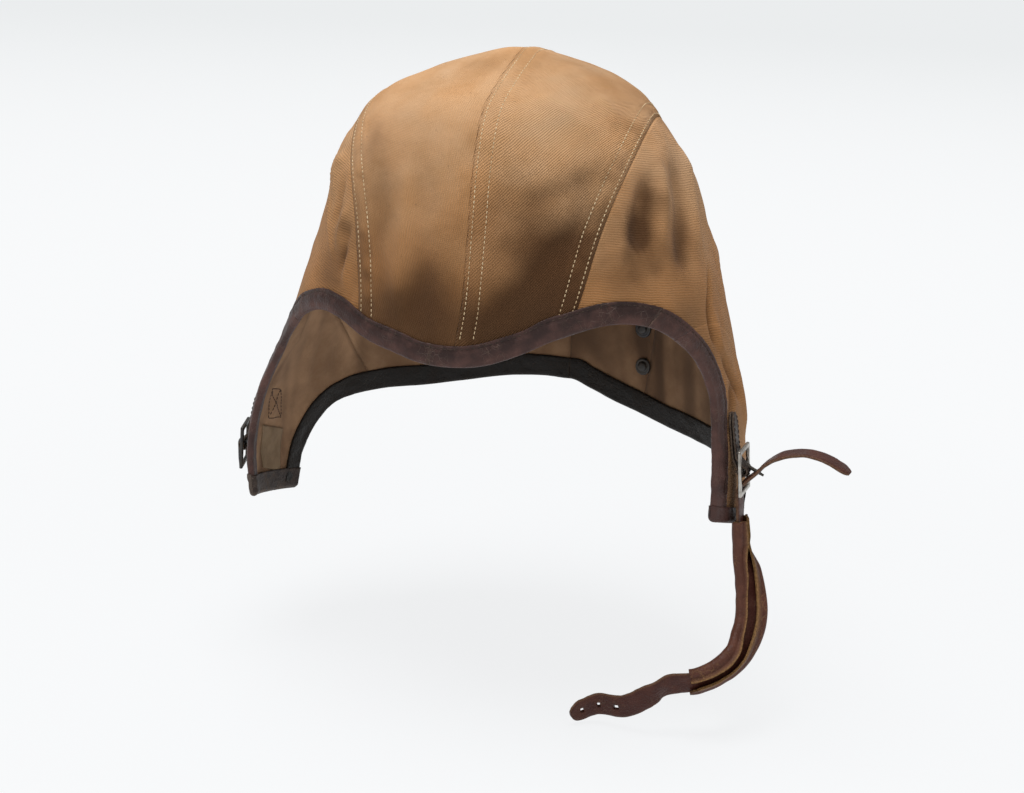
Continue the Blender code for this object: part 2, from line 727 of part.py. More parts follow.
def strap_bend(seat):
    """Where the strap bends below the flap, as a height above the buckle's bar."""
    tip = shell_point(*pattern_point(seat.side, TIP_PLACE, HALF_share))
    return (tip - seat.foot).dot(seat.up) - 3 * TRIM_OFFSET - STRAP_BEND_GAP


def make_strap_through_buckle(seat):
    """The short upper strap: from the bend, through the buckle and out to its tail."""
    window = FRAME_LENGTH / 2 - FRAME_RAIL
    pierced, tip = tongue_path(LEFT_TONGUE_TURN)[-2:]
    pin = (tip - pierced).normalized()
    start = strap_bend(seat) + STRAP_BEND_GAP / 2
    points = [
        Vector((start, STRAP_STAND_OFF)),
        Vector(((start - FRAME_LENGTH / 2) / 2, STRAP_STAND_OFF)),
        Vector((-FRAME_LENGTH / 2 - FRAME_BEVEL, STRAP_STAND_OFF)),
        Vector((-window, STRAP_STAND_OFF + FRAME_BEVEL)),
        Vector((-window * 0.66, seat.height + FRAME_BEVEL)),
        Vector((pierced.x, seat.height + pierced.y)),
    ]
    for up, out in tail_reach_shares:
        points.append(Vector((up * TAIL_REACH, seat.height + out * TAIL_REACH)))
    path = [seat.at(0, up, out) for up, out in smooth_path(points, STRAP_STEPS)]
    path, across = round_ended(path, [seat.rear] * len(path))
    strap = flat_strap("chin_strap_upper", path, across, STRAP_LEATHER)
    centre = seat.at(0, pierced.x, seat.height + pierced.y)
    drill(strap, centre, seat.up * pin.x + seat.out * pin.y, STRAP_HOLE / 2, "tongue_hole")


def make_hanging_strap(seat):
    """The long lower strap, bending and curling below the flap, and the sleeve round it."""
    bend = strap_bend(seat)
    start = seat.at(0, bend - STRAP_BEND_GAP / 2, STRAP_STAND_OFF)
    points, widths = [start], [-seat.rear]
    for back, up, out, (wide_back, wide_up, wide_out) in strap_hang_shares:
        points.append(start + Vector((seat.side * out, back, up)) * STRAP_HANG)
        widths.append(Vector((seat.side * wide_out, wide_back, wide_up)))
    path, across = smooth_path(points, STRAP_STEPS), smooth_path(widths, STRAP_STEPS)
    lengths = running_lengths(path)
    sleeve = [
        row for row, length in zip(strap_rows(path, across), lengths)
        if STRAP_WIDTH / 2 < length < sleeve_end_share * lengths[-1]
    ]
    strap_path, strap_across = round_ended(path, across)
    strap = flat_strap("chin_strap", strap_path, strap_across, STRAP_LEATHER)
    for number, share in enumerate(hole_place_shares):
        step = min(range(len(lengths)), key=lambda k: abs(lengths[k] - share * lengths[-1]))
        centre, _, face = strap_rows(path, across)[step]
        drill(strap, centre, face, STRAP_HOLE / 2, f"strap_hole_{number}")
    half = STRAP_WIDTH / 2 + SLEEVE_GAP + SLEEVE / 2
    off = STRAP / 2 + SLEEVE_GAP + SLEEVE / 2
    section = (
        (SLEEVE_LIP - half, -off), (-half, -off), (-half, off), (0, off),
        (half, off), (half, -off), (half - SLEEVE_LIP, -off),
    )
    points = [
        [centre + width * wide + face * high for wide, high in section]
        for centre, width, face in sleeve
    ]
    mapped_grid("chin_strap_sleeve", points, SLEEVE, SLEEVE_LEATHER, "FIXED")


def make_press_studs():
    """Two press studs, seated on the lining behind the wearer's left ear."""
    graph = bpy.context.evaluated_depsgraph_get()
    lining = bpy.data.objects["crown_lining_left"]
    tree = BVHTree.FromObject(lining, graph)
    for label, radius, station in zip(("upper", "lower"), STUD_RADII, stud_place_shares):
        pattern = (math.sin(STUD_AZIMUTH) * station, -math.cos(STUD_AZIMUTH) * station)
        inside = on_shell(pattern, -2 * SHELL_THICKNESS)
        place, normal, _, _ = tree.find_nearest(inside)
        mesh = bpy.data.meshes.new(f"press_stud_{label}")
        stud = bmesh.new()
        bmesh.ops.create_cone(
            stud, cap_ends=True, segments=SEGMENTS, radius1=radius,
            radius2=radius * HALF_share, depth=STUD_HEIGHT,
        )
        stud.to_mesh(mesh)
        stud.free()
        obj = bpy.data.objects.new(mesh.name, mesh)
        obj.rotation_mode = "QUATERNION"
        obj.rotation_quaternion = normal.to_track_quat("Z", "Y")
        obj.location = place + normal * (STUD_GAP + STUD_HEIGHT / 2)
        obj.data.materials.append(BLACKED_STEEL)
        HELMET.objects.link(obj)


def joint_place(name, place, pieces, parent=None):
    """An empty on a joint's axis, which carries the pieces that move with that joint."""
    empty = bpy.data.objects.new(name, None)
    HELMET.objects.link(empty)
    empty.location = place - (Vector(parent["place"]) if parent else Vector())
    empty["place"] = place
    empty.parent = parent
    for piece in pieces:
        obj = bpy.data.objects[piece]
        obj.parent = empty
        obj.matrix_parent_inverse = Matrix.Translation(-place)
    return empty


def make_joint_places(folds, seats):
    for side, label in ((1, "left"), (-1, "right")):
        seat = seats[side]
        cloth = [f"{kind}_{label}" for kind in (
            "ear_flap_panel", "ear_flap_lining", "flap_front_trim", "flap_back_trim",
            "flap_tip_trim", "chape",
        )]
        flap = joint_place(f"flap_fold_{label}_axis", folds[side].point, cloth)
        bar = seat.bar
        frame = [f"buckle_frame_{label}", *(["chin_strap_upper"] if side == 1 else [])]
        buckle = joint_place(f"buckle_swing_{label}_axis", bar, frame, flap)
        joint_place(f"tongue_turn_{label}_axis", bar, [f"buckle_tongue_{label}"], buckle)
        if side == 1:
            bend = seat.at(0, strap_bend(seat), STRAP_STAND_OFF)
            joint_place("strap_bend_axis", bend, ["chin_strap", "chin_strap_sleeve"], buckle)


FOLDS = {1: Fold(1, "left"), -1: Fold(-1, "right")}
SEATS = {1: BuckleSeat(1), -1: BuckleSeat(-1)}
for SIDE, LABEL in ((1, "left"), (-1, "right")):
    make_panels(SIDE, LABEL, FOLDS[SIDE])
    make_flap_tip(SIDE, LABEL)
    make_chape(SEATS[SIDE], LABEL)
make_seam_tapes()
make_trims(FOLDS)
make_buckle_frame(SEATS[1], "left", WHITE_METAL)
make_buckle_frame(SEATS[-1], "right", BLACKED_STEEL)
make_tongue(SEATS[1], "left", LEFT_TONGUE_TURN, WHITE_METAL)
make_tongue(SEATS[-1], "right", RIGHT_TONGUE_TURN, BLACKED_STEEL)
make_strap_through_buckle(SEATS[1])
make_hanging_strap(SEATS[1])
make_press_studs()
make_joint_places(FOLDS, SEATS)
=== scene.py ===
import math

import bpy
import numpy as np
from mathutils import Matrix, Vector


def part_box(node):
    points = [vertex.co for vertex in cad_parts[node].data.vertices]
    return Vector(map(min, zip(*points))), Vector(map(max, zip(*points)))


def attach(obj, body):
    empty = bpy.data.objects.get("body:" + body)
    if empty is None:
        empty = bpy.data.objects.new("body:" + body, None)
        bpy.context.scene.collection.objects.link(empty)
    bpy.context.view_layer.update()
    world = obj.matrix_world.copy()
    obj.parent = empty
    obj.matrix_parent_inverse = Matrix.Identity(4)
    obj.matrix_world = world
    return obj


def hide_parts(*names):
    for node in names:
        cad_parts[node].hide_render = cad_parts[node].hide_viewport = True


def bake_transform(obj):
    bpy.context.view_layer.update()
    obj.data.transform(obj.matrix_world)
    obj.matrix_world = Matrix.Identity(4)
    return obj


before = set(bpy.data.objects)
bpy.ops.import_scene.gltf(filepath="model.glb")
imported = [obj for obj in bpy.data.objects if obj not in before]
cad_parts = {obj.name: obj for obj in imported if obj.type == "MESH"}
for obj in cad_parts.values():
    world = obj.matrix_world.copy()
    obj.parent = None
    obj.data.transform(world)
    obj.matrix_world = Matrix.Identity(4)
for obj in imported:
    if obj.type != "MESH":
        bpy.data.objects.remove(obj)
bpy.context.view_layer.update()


# Crown panels
# Two panels of tan cotton drill meet over the top of the head. They are cut to one pattern, sewn
# along the centre seam, and the twin rows of stitching hold the turned edge flat.
SHELL_DEPTH = 0.240
SHELL_HALF_WIDTH = 0.116
SHELL_FRONT = 0.090
SHELL_BACK = 0.108
PLAN_SQUARENESS = 2.25
CROWN_SLUMP = 0.0045
SIDE_LEAN = 0.0057
LEFT_FLAP_SPREAD = 0.007
RIGHT_FLAP_SPREAD = 0.023
FLAP_TWIST = math.radians(4)
SHELL_THICKNESS = 0.0031
CLOTH = 0.0012
CENTRE, SEAM, TIP = 0, 3.3, 11
SIDES = ((1, "left"), (-1, "right"))
NUDGE = 0.0005
HEAD_RADIUS = 0.105
drop_shares = (0, 0.021, 0.058, 0.112, 0.208, 0.325, 0.454, 0.588, 0.725, 0.862, 1)
half_width_shares = (0, 0.216, 0.418, 0.595, 0.724, 0.800, 0.872, 0.922, 0.956, 0.983, 1)
front_shares = (0, 0.19, 0.40, 0.60, 0.755, 0.867, 0.933, 0.967, 0.989, 1, 1)
back_shares = (0, 0.30, 0.556, 0.73, 0.861, 0.944, 0.99, 1, 0.98, 0.935, 0.88)
slump_shares = (0, 0.2, 0.6, 1, 0.85, 0.5, 0.25, 0, 0, 0, 0)
spread_shares = (0, 0, 0, 0, 0, 0, 0.08, 0.40, 0.86, 1, 0.74)
twist_shares = (0, 0, 0, 0, 0, 0, 0.15, 0.8, 1, 1, 1)
front_edge_rows = {
    1: (
        (0, 0.686), (8, 0.681), (16, 0.665), (24.5, 0.643), (36, 0.625), (46, 0.6265),
        (56.5, 0.648), (67.5, 0.695), (73, 0.752), (72.5, 0.812), (71.5, 0.876), (71, 0.940),
    ),
    -1: (
        (0, 0.686), (8, 0.683), (16, 0.671), (24.5, 0.658), (36, 0.634), (46, 0.631),
        (56, 0.652), (64, 0.695), (68, 0.75), (70, 0.812), (70.5, 0.885), (71, 0.963),
    ),
}
nape_edge_rows = {
    1: (
        (0, 0.846), (7, 0.861), (14, 0.878), (20, 0.889), (30, 0.906), (40, 0.916), (50, 0.922),
        (59, 0.927), (64, 0.932), (68, 0.944), (71, 0.968), (73, 1.0),
    ),
    -1: (
        (0, 0.846), (7, 0.843), (14, 0.843), (20, 0.845), (30, 0.852), (40, 0.857), (50, 0.857),
        (59, 0.863), (64.5, 0.876), (69.5, 0.908), (74.5, 0.95), (78, 0.995),
    ),
}


def along(shares, place, mirror=-1):
    """Smooth values of a table of shares at places counted in its steps."""
    table = np.array(shares, float)
    last = len(table) - 1
    place = np.asarray(place, float)
    step = np.clip(np.floor(place), 0, last - 1).astype(int)
    t = place - step
    start, end = table[step], table[step + 1]
    before = np.where(step > 0, table[np.maximum(step - 1, 0)], mirror * table[1])
    beyond = 2 * table[last] - table[last - 1]
    after = np.where(step + 2 <= last, table[np.minimum(step + 2, last)], beyond)
    return 0.5 * (
        2 * start + (end - before) * t + (2 * before - 5 * start + 4 * end - after) * t**2
        + (3 * start - before - 3 * end + after) * t**3
    )


def unit(ways):
    """Directions brought to a length of one."""
    return ways / np.linalg.norm(ways, axis=-1, keepdims=True)


def shell(across, back):
    """The shell's outer surface at places on the pattern."""
    station = np.hypot(across, back) * (len(drop_shares) - 1)
    azimuth = np.arctan2(across, -back) - FLAP_TWIST * along(twist_shares, station, 0)
    side, rear = np.sin(azimuth), -np.cos(azimuth)
    reach = (abs(side) ** PLAN_SQUARENESS + abs(rear) ** PLAN_SQUARENESS) ** (1 / PLAN_SQUARENESS)
    side, rear = side / reach, rear / reach
    spread = np.where(side > 0, LEFT_FLAP_SPREAD, RIGHT_FLAP_SPREAD)
    half_width = SHELL_HALF_WIDTH * along(half_width_shares, station)
    drop_share = along(drop_shares, station, 1)
    lean = SIDE_LEAN * side * half_width / SHELL_HALF_WIDTH * (0.5 + drop_share)
    depth = np.where(
        rear < 0, SHELL_FRONT * along(front_shares, station), SHELL_BACK * along(back_shares, station),
    )
    return np.stack([
        side * (half_width + spread * along(spread_shares, station, 0) * side**2)
        - CROWN_SLUMP * along(slump_shares, station, 1),
        rear * depth,
        SHELL_THICKNESS - SHELL_DEPTH * drop_share + lean,
    ], -1)


def pattern(side, place, share):
    """Places on one side's pattern: from the centre to a flap tip, and from the brow to the nape."""
    front, nape = (np.array(rows[side]) for rows in (front_edge_rows, nape_edge_rows))
    front_angle, nape_angle = (np.radians(along(rows[:, 0], place)) for rows in (front, nape))
    front_down, nape_down = (along(rows[:, 1], place, 1) for rows in (front, nape))
    angle = front_angle + (math.pi - nape_angle - front_angle) * share
    down = front_down + (nape_down - front_down) * share
    arched_across, arched_back = np.sin(angle) * down, -np.cos(angle) * down
    straight_across = (
        np.sin(front_angle) * front_down * (1 - share) + np.sin(nape_angle) * nape_down * share
    )
    straight_back = (
        -np.cos(front_angle) * front_down * (1 - share) + np.cos(nape_angle) * nape_down * share
    )
    ramp = np.clip((place - SEAM) / (TIP - SEAM), 0, 1)
    ramp = ramp * ramp * (3 - 2 * ramp)
    across = straight_across + (arched_across - straight_across) * ramp
    return side * across, straight_back + (arched_back - straight_back) * ramp


def on_shell(across, back):
    """Points of the outer surface at places on the pattern, and the directions square to it."""
    over = shell(across + NUDGE, back) - shell(across - NUDGE, back)
    rear = shell(across, back + NUDGE) - shell(across, back - NUDGE)
    return shell(across, back), unit(np.cross(over, rear))


def surface(side, place, share):
    """The same for one side, by places towards the tip and shares from the front to the nape."""
    place, share = np.broadcast_arrays(np.asarray(place, float), np.asarray(share, float))
    return on_shell(*pattern(side, place, share))


def soft_noise(x, y, size, seed):
    """Smooth random heights from -1 to 1, in lumps of about the given size."""
    cells = 61
    table = np.random.default_rng(seed).uniform(-1, 1, (cells, cells))
    x, y = np.asarray(x) / size + 997.3, np.asarray(y) / size + 997.7
    column, row = np.floor(x).astype(int), np.floor(y).astype(int)
    s, t = x - column, y - row
    s, t = s * s * (3 - 2 * s), t * t * (3 - 2 * t)
    column, row = column % cells, row % cells
    right, above = (column + 1) % cells, (row + 1) % cells
    return (
        table[column, row] * (1 - s) * (1 - t) + table[right, row] * s * (1 - t)
        + table[column, above] * (1 - s) * t + table[right, above] * s * t
    )


def rise(value, start, end):
    """A smooth step from 0 at start to 1 at end."""
    t = np.clip((value - start) / (end - start), 0, 1)
    return t * t * (3 - 2 * t)


def bump(distance, half_width):
    """A soft hump, 1 at no distance and nearly 0 at twice its half width."""
    return np.exp(-(distance / half_width) ** 2)


def path_on_shell(side, stops, steps=12):
    """A smooth line on the shell through places and shares on one side."""
    stops = np.array(stops, float)
    at = np.linspace(0, len(stops) - 1, steps * (len(stops) - 1) + 1)
    place, share = along(stops[:, 0], at, 1), along(stops[:, 1], at, 1)
    first = at < 1
    place[first] = stops[0, 0] + (stops[1, 0] - stops[0, 0]) * at[first]
    share[first] = stops[0, 1] + (stops[1, 1] - stops[0, 1]) * at[first]
    return surface(side, place, share)[0]


def crease(base, side, stops, half_width, height, fade_share=0.3):
    """Height over the cloth of one soft fold along a line, fading out at its ends."""
    line = path_on_shell(side, stops)
    flat = base.reshape(-1, 3)
    near = np.full(len(flat), np.inf)
    place = np.zeros(len(flat))
    for index, point in enumerate(line):
        distance = ((flat - point) ** 2).sum(1)
        closer = distance < near
        near[closer] = distance[closer]
        place[closer] = index / (len(line) - 1)
    ends = rise(place, 0, fade_share) * rise(1 - place, 0, fade_share)
    return (height * ends * bump(np.sqrt(near), half_width)).reshape(base.shape[:-1])


ROW_INSET, ROW_GAP, ROW_HALF, ROW_DEPTH = 0.0018, 0.00635, 0.0011, 0.0006
TURNED_HEIGHT, TURNED_WIDTH = 0.0006, 0.0125


def sewn_dip(distance):
    """The dip that the twin rows of stitching press beside a seam's turned edge."""
    turned = rise(distance, -0.0004, 0.0006) * rise(TURNED_WIDTH - distance, 0, 0.003)
    rows = bump(distance - ROW_INSET, ROW_HALF) + bump(distance - ROW_INSET - ROW_GAP, ROW_HALF)
    return TURNED_HEIGHT * turned - ROW_DEPTH * rows


class Cloth:
    """A grid over one side's pattern, with its flat measures and its soft relief."""

    def __init__(self, side, first, last, step, ends=(0, 1)):
        self.side = side
        middle = surface(side, np.linspace(first, last, 40)[:, None], np.linspace(*ends, 80))[0]
        rows = round(np.linalg.norm(np.diff(middle, axis=0), axis=2).sum(0).max() / step)
        columns = round(np.linalg.norm(np.diff(middle, axis=1), axis=2).sum(1).max() / step)
        self.place = np.linspace(first, last, rows + 1)[:, None] * np.ones(columns + 1)
        self.share = np.linspace(*ends, columns + 1)[None, :] * np.ones((rows + 1, 1))
        self.base, self.square = surface(side, self.place, self.share)
        step_down = np.linalg.norm(np.diff(self.base, axis=0), axis=2)
        step_back = np.linalg.norm(np.diff(self.base, axis=1), axis=2)
        self.down = np.concatenate([np.zeros((1, columns + 1)), step_down.cumsum(0)])
        self.back = np.concatenate([np.zeros((rows + 1, 1)), step_back.cumsum(1)], 1)
        across, rear = pattern(side, self.place, self.share)
        shares = np.linspace(0, 1.1, 200)
        meridian = np.linalg.norm(np.diff(shell(shares, 0 * shares), axis=0), axis=-1).cumsum()
        self.sunk = np.interp(np.hypot(across, rear), shares[1:], meridian)
        self.round = np.arctan2(abs(across), -rear) * HEAD_RADIUS
        self.to_nape = self.back[:, -1:] - self.back
        self.to_end = self.down[-1:] - self.down
        self.height = np.zeros(self.place.shape)

    def at(self, height):
        """The grid's points at a height over the relief."""
        return self.base + self.square * (self.height + height)[..., None]

    def relief(self, place, share):
        """The relief's height at places and shares, held level beyond the grid."""
        rows, columns = np.array(self.height.shape) - 1
        first, last = self.place[0, 0], self.place[-1, 0]
        row = np.clip((place - first) / (last - first), 0, 1) * rows
        column = np.clip(np.asarray(share, float), 0, 1) * columns
        row, column = np.broadcast_arrays(row, column)
        above = np.minimum(row.astype(int), rows - 1)
        before = np.minimum(column.astype(int), columns - 1)
        s, t, table = row - above, column - before, self.height
        return (
            table[above, before] * (1 - s) * (1 - t) + table[above + 1, before] * s * (1 - t)
            + table[above, before + 1] * (1 - s) * t + table[above + 1, before + 1] * s * t
        )


def new_object(name, data):
    """An object in the scene that holds a mesh, a camera or a lamp."""
    obj = bpy.data.objects.new(name, data)
    bpy.context.scene.collection.objects.link(obj)
    return obj


def solid_mesh(name, points, faces):
    """A closed mesh with its faces turned outward."""
    corners = points[faces]
    cross = np.cross(corners[:, 1] - corners[:, 0], corners[:, 2] - corners[:, 0])
    cross += np.cross(corners[:, 2] - corners[:, 0], corners[:, 3] - corners[:, 0])
    middle = points.mean(0)
    if ((corners[:, 0] - middle) * cross).sum() < 0:
        faces = faces[:, ::-1]
    mesh = bpy.data.meshes.new(name)
    mesh.from_pydata(points.tolist(), [], faces.tolist())
    mesh.polygons.foreach_set("use_smooth", np.ones(len(faces), bool))
    mesh.update()
    return new_object(name, mesh)


def grid_mesh(name, outer, inner, measures=(), masks=None, kept=None):
    """A sheet with two faces and closed edges, carrying its flat measures and its masks."""
    rows, columns = outer.shape[:2]
    count = rows * columns
    number = np.arange(count).reshape(rows, columns)
    quads = np.stack([number[:-1, :-1], number[:-1, 1:], number[1:, 1:], number[1:, :-1]], -1)
    quads = quads.reshape(-1, 4) if kept is None else quads[kept]
    sides = np.stack([quads, np.roll(quads, -1, 1)], -1).reshape(-1, 2)
    code, reverse = sides[:, 0] * count + sides[:, 1], sides[:, 1] * count + sides[:, 0]
    rim = sides[~np.isin(code, reverse)]
    wall = np.stack([rim[:, 1], rim[:, 0], rim[:, 0] + count, rim[:, 1] + count], -1)
    faces = np.concatenate([quads, quads[:, ::-1] + count, wall])
    used, faces = np.unique(faces, return_inverse=True)
    faces = faces.reshape(-1, 4)
    points = np.concatenate([outer.reshape(-1, 3), inner.reshape(-1, 3)])[used]
    obj = solid_mesh(name, points, faces)
    mesh = obj.data
    mesh.polygons.foreach_set("use_smooth", np.arange(len(faces)) < 2 * len(quads))
    if measures:
        corner = np.zeros(len(mesh.loops), np.int32)
        mesh.loops.foreach_get("vertex_index", corner)
        flat = np.stack([np.tile(part.ravel(), 2)[used][corner] for part in measures], -1)
        mesh.uv_layers.new(name="flat").data.foreach_set("uv", flat.astype(np.float32).ravel())
    for mask, values in (masks or {}).items():
        values = values.ravel() if values.ndim == 3 else np.tile(values.ravel(), 2)
        layer = mesh.attributes.new(mask, "FLOAT", "POINT")
        layer.data.foreach_set("value", values[used].astype(np.float32))
    mesh.update()
    return obj


def group(name, inputs, outputs):
    """An empty shader node group with named sockets."""
    tree = bpy.data.node_groups.new(name, "ShaderNodeTree")
    for label, kind, value in inputs:
        socket = tree.interface.new_socket(label, in_out="INPUT", socket_type=f"NodeSocket{kind}")
        socket.default_value = value
    for label, kind in outputs:
        tree.interface.new_socket(label, in_out="OUTPUT", socket_type=f"NodeSocket{kind}")
    return tree, tree.nodes.new("NodeGroupInput"), tree.nodes.new("NodeGroupOutput")


def feed(tree, socket, value):
    """Link a socket to another one, or set the value that it holds."""
    if isinstance(value, bpy.types.NodeSocket):
        tree.links.new(value, socket)
    elif isinstance(value, tuple) and socket.type == "RGBA":
        socket.default_value = (*value, 1)
    else:
        socket.default_value = value


def math_node(tree, operation, *values):
    """The result of a sum on sockets or numbers."""
    node = tree.nodes.new("ShaderNodeMath")
    node.operation = operation
    for socket, value in zip(node.inputs, values):
        feed(tree, socket, value)
    return node.outputs[0]


def times(tree, first, second):
    return math_node(tree, "MULTIPLY", first, second)


def plus(tree, first, second):
    return math_node(tree, "ADD", first, second)


def mixed(tree, share, first, second, blend="MIX"):
    """Two colours mixed by a share."""
    node = tree.nodes.new("ShaderNodeMix")
    node.data_type = "RGBA"
    node.blend_type = blend
    for socket, value in zip((node.inputs[0], node.inputs[6], node.inputs[7]), (share, first, second)):
        feed(tree, socket, value)
    return node.outputs[2]


def noise_node(tree, where, scale, detail, roughness=0.5):
    """Noise in lumps of one over the scale, in metres."""
    noise = tree.nodes.new("ShaderNodeTexNoise")
    for label, value in (("Scale", scale), ("Detail", detail), ("Roughness", roughness)):
        feed(tree, noise.inputs[label], value)
    tree.links.new(where, noise.inputs["Vector"])
    return noise.outputs["Fac"]


def object_place(tree):
    """Where a point lies on the object, which stays with it in every pose."""
    return tree.nodes.new("ShaderNodeTexCoord").outputs["Object"]


def flat_place(tree):
    """Where a point lies on the flat cloth."""
    node = tree.nodes.new("ShaderNodeUVMap")
    node.uv_map = "flat"
    return node.outputs[0]


def ramp_node(tree, value, low, high):
    """A smooth step from 0 at low to 1 at high."""
    node = tree.nodes.new("ShaderNodeMapRange")
    node.interpolation_type = "SMOOTHSTEP"
    node.inputs["From Min"].default_value = low
    node.inputs["From Max"].default_value = high
    tree.links.new(value, node.inputs["Value"])
    return node.outputs[0]


def twill_weave():
    """Twill: raised diagonal ribs crossed by finer threads, as a height and as a shade that paints a
    highlight on the raised threads.
    """
    tree, given, out = group("twill_weave", (
        ("Flat", "Vector", (0, 0, 0)), ("Rib", "Float", 0.001), ("Slope", "Float", 0.7),
    ), (("Height", "Float"), ("Shade", "Float")))
    split = tree.nodes.new("ShaderNodeSeparateXYZ")
    tree.links.new(given.outputs["Flat"], split.inputs[0])
    wobble = math_node(tree, "SUBTRACT", noise_node(tree, given.outputs["Flat"], 90, 2), 0.5)
    wobble = times(tree, wobble, 0.0016)
    cosine = math_node(tree, "COSINE", given.outputs["Slope"])
    sine = math_node(tree, "SINE", given.outputs["Slope"])
    x, y = split.outputs[0], split.outputs[1]
    run = plus(tree, times(tree, x, cosine), times(tree, y, sine))
    turn = math_node(tree, "SUBTRACT", times(tree, y, cosine), times(tree, x, sine))
    phase = math_node(tree, "DIVIDE", plus(tree, run, wobble), given.outputs["Rib"])
    rib = math_node(tree, "SINE", times(tree, phase, 2 * math.pi))
    cross = math_node(tree, "DIVIDE", turn, times(tree, given.outputs["Rib"], 0.8))
    thread = math_node(tree, "SINE", times(tree, cross, 2 * math.pi))
    height = plus(tree, times(tree, rib, 0.4), times(tree, thread, 0.12))
    tree.links.new(plus(tree, height, 0.5), out.inputs["Height"])
    patchy = ramp_node(tree, noise_node(tree, given.outputs["Flat"], 22, 3), 0.3, 0.62)
    shade = times(tree, plus(tree, height, 0.5), patchy)
    tree.links.new(shade, out.inputs["Shade"])
    return tree


def mottle():
    """Uneven fading and dirt: broad patches and small specks."""
    tree, given, out = group("mottle", (
        ("Place", "Vector", (0, 0, 0)), ("Patch", "Float", 0.03),
    ), (("Patches", "Float"), ("Specks", "Float")))
    scale = math_node(tree, "DIVIDE", 1.0, given.outputs["Patch"])
    broad = noise_node(tree, given.outputs["Place"], scale, 5, 0.6)
    tree.links.new(ramp_node(tree, broad, 0.3, 0.7), out.inputs["Patches"])
    specks = noise_node(tree, given.outputs["Place"], 700, 2)
    tree.links.new(ramp_node(tree, specks, 0.68, 0.78), out.inputs["Specks"])
    return tree


TWILL, MOTTLE = twill_weave(), mottle()


def fitted(tree, effect, **values):
    """An effect's node group placed in a material, with its values or links."""
    node = tree.nodes.new("ShaderNodeGroup")
    node.node_tree = effect
    for label, value in values.items():
        feed(tree, node.inputs[label], value)
    return node


def mask_node(tree, name):
    """A mask that a piece's mesh carries, or 0 where it has none."""
    node = tree.nodes.new("ShaderNodeAttribute")
    node.attribute_name = name
    return node.outputs["Fac"]


def bumped(tree, height, strength, distance, normal=None):
    """A normal raised by a height, over another normal if one is given."""
    node = tree.nodes.new("ShaderNodeBump")
    node.inputs["Strength"].default_value = strength
    node.inputs["Distance"].default_value = distance
    tree.links.new(height, node.inputs["Height"])
    if normal is not None:
        tree.links.new(normal, node.inputs["Normal"])
    return node.outputs[0]


def new_material(name, roughness, **settings):
    """A material with a Principled shader, and its node tree."""
    made = bpy.data.materials.new(name)
    made.use_nodes = True
    tree = made.node_tree
    shader = tree.nodes["Principled BSDF"]
    shader.inputs["Roughness"].default_value = roughness
    for label, value in settings.items():
        shader.inputs[label.replace("_", " ")].default_value = value
    return made, tree, shader


PALE_TAN, FADED_TAN, DEEP_TAN = (0.6, 0.385, 0.225), (0.5, 0.29, 0.14), (0.36, 0.187, 0.08)
SOIL_AND_SHADE_TAN, RIB_HIGHLIGHT_TAN, SPECK_TAN = (0.088, 0.043, 0.019), (0.68, 0.53, 0.36), (0.1, 0.055, 0.03)


def drill_cloth(name, slope, rib, depth):
    """Worn tan drill: sun-faded on top, soiled and with painted shade low down and in its creases, with
    its twill ribs and a painted highlight on them.
    """
    made, tree, shader = new_material(name, 0.9, Sheen_Weight=0.05, Specular_IOR_Level=0.1)
    place = object_place(tree)
    twill = fitted(tree, TWILL, Flat=flat_place(tree), Rib=rib, Slope=slope)
    patches = fitted(tree, MOTTLE, Place=place, Patch=0.035)
    soil_and_shade = plus(tree, mask_node(tree, "soil_and_shade"), times(tree, patches.outputs["Patches"], 0.16))
    faded = mixed(tree, patches.outputs["Patches"], PALE_TAN, FADED_TAN)
    colour = mixed(tree, times(tree, mask_node(tree, "fade"), 0.85), DEEP_TAN, faded)
    # Soil, with painted shade in the creases and low at the front, darkens towards the soil-and-shade
    # tan.
    colour = mixed(tree, ramp_node(tree, soil_and_shade, 0.1, 1.1), colour, SOIL_AND_SHADE_TAN)
    # Painted highlight and shade on the twill ribs.
    colour = mixed(tree, times(tree, twill.outputs["Shade"], 0.5), colour, RIB_HIGHLIGHT_TAN, "OVERLAY")
    colour = mixed(tree, times(tree, patches.outputs["Specks"], 0.35), colour, SPECK_TAN)
    tree.links.new(colour, shader.inputs["Base Color"])
    ribs = bumped(tree, twill.outputs["Height"], 0.9, depth)
    lumps = noise_node(tree, place, 160, 3)
    tree.links.new(bumped(tree, lumps, 0.35, 0.0011, ribs), shader.inputs["Normal"])
    return made


def stain(cloth, place, share, half_width, depth):
    """One soft dark patch round a place on the cloth."""
    point = surface(cloth.side, place, share)[0]
    distance = np.linalg.norm(cloth.base - point, axis=-1)
    x, y, z = np.moveaxis(cloth.base, -1, 0)
    ragged = 1 + 0.2 * soft_noise(x + y, z, 0.012, 5)
    return depth * bump(distance, half_width * ragged)


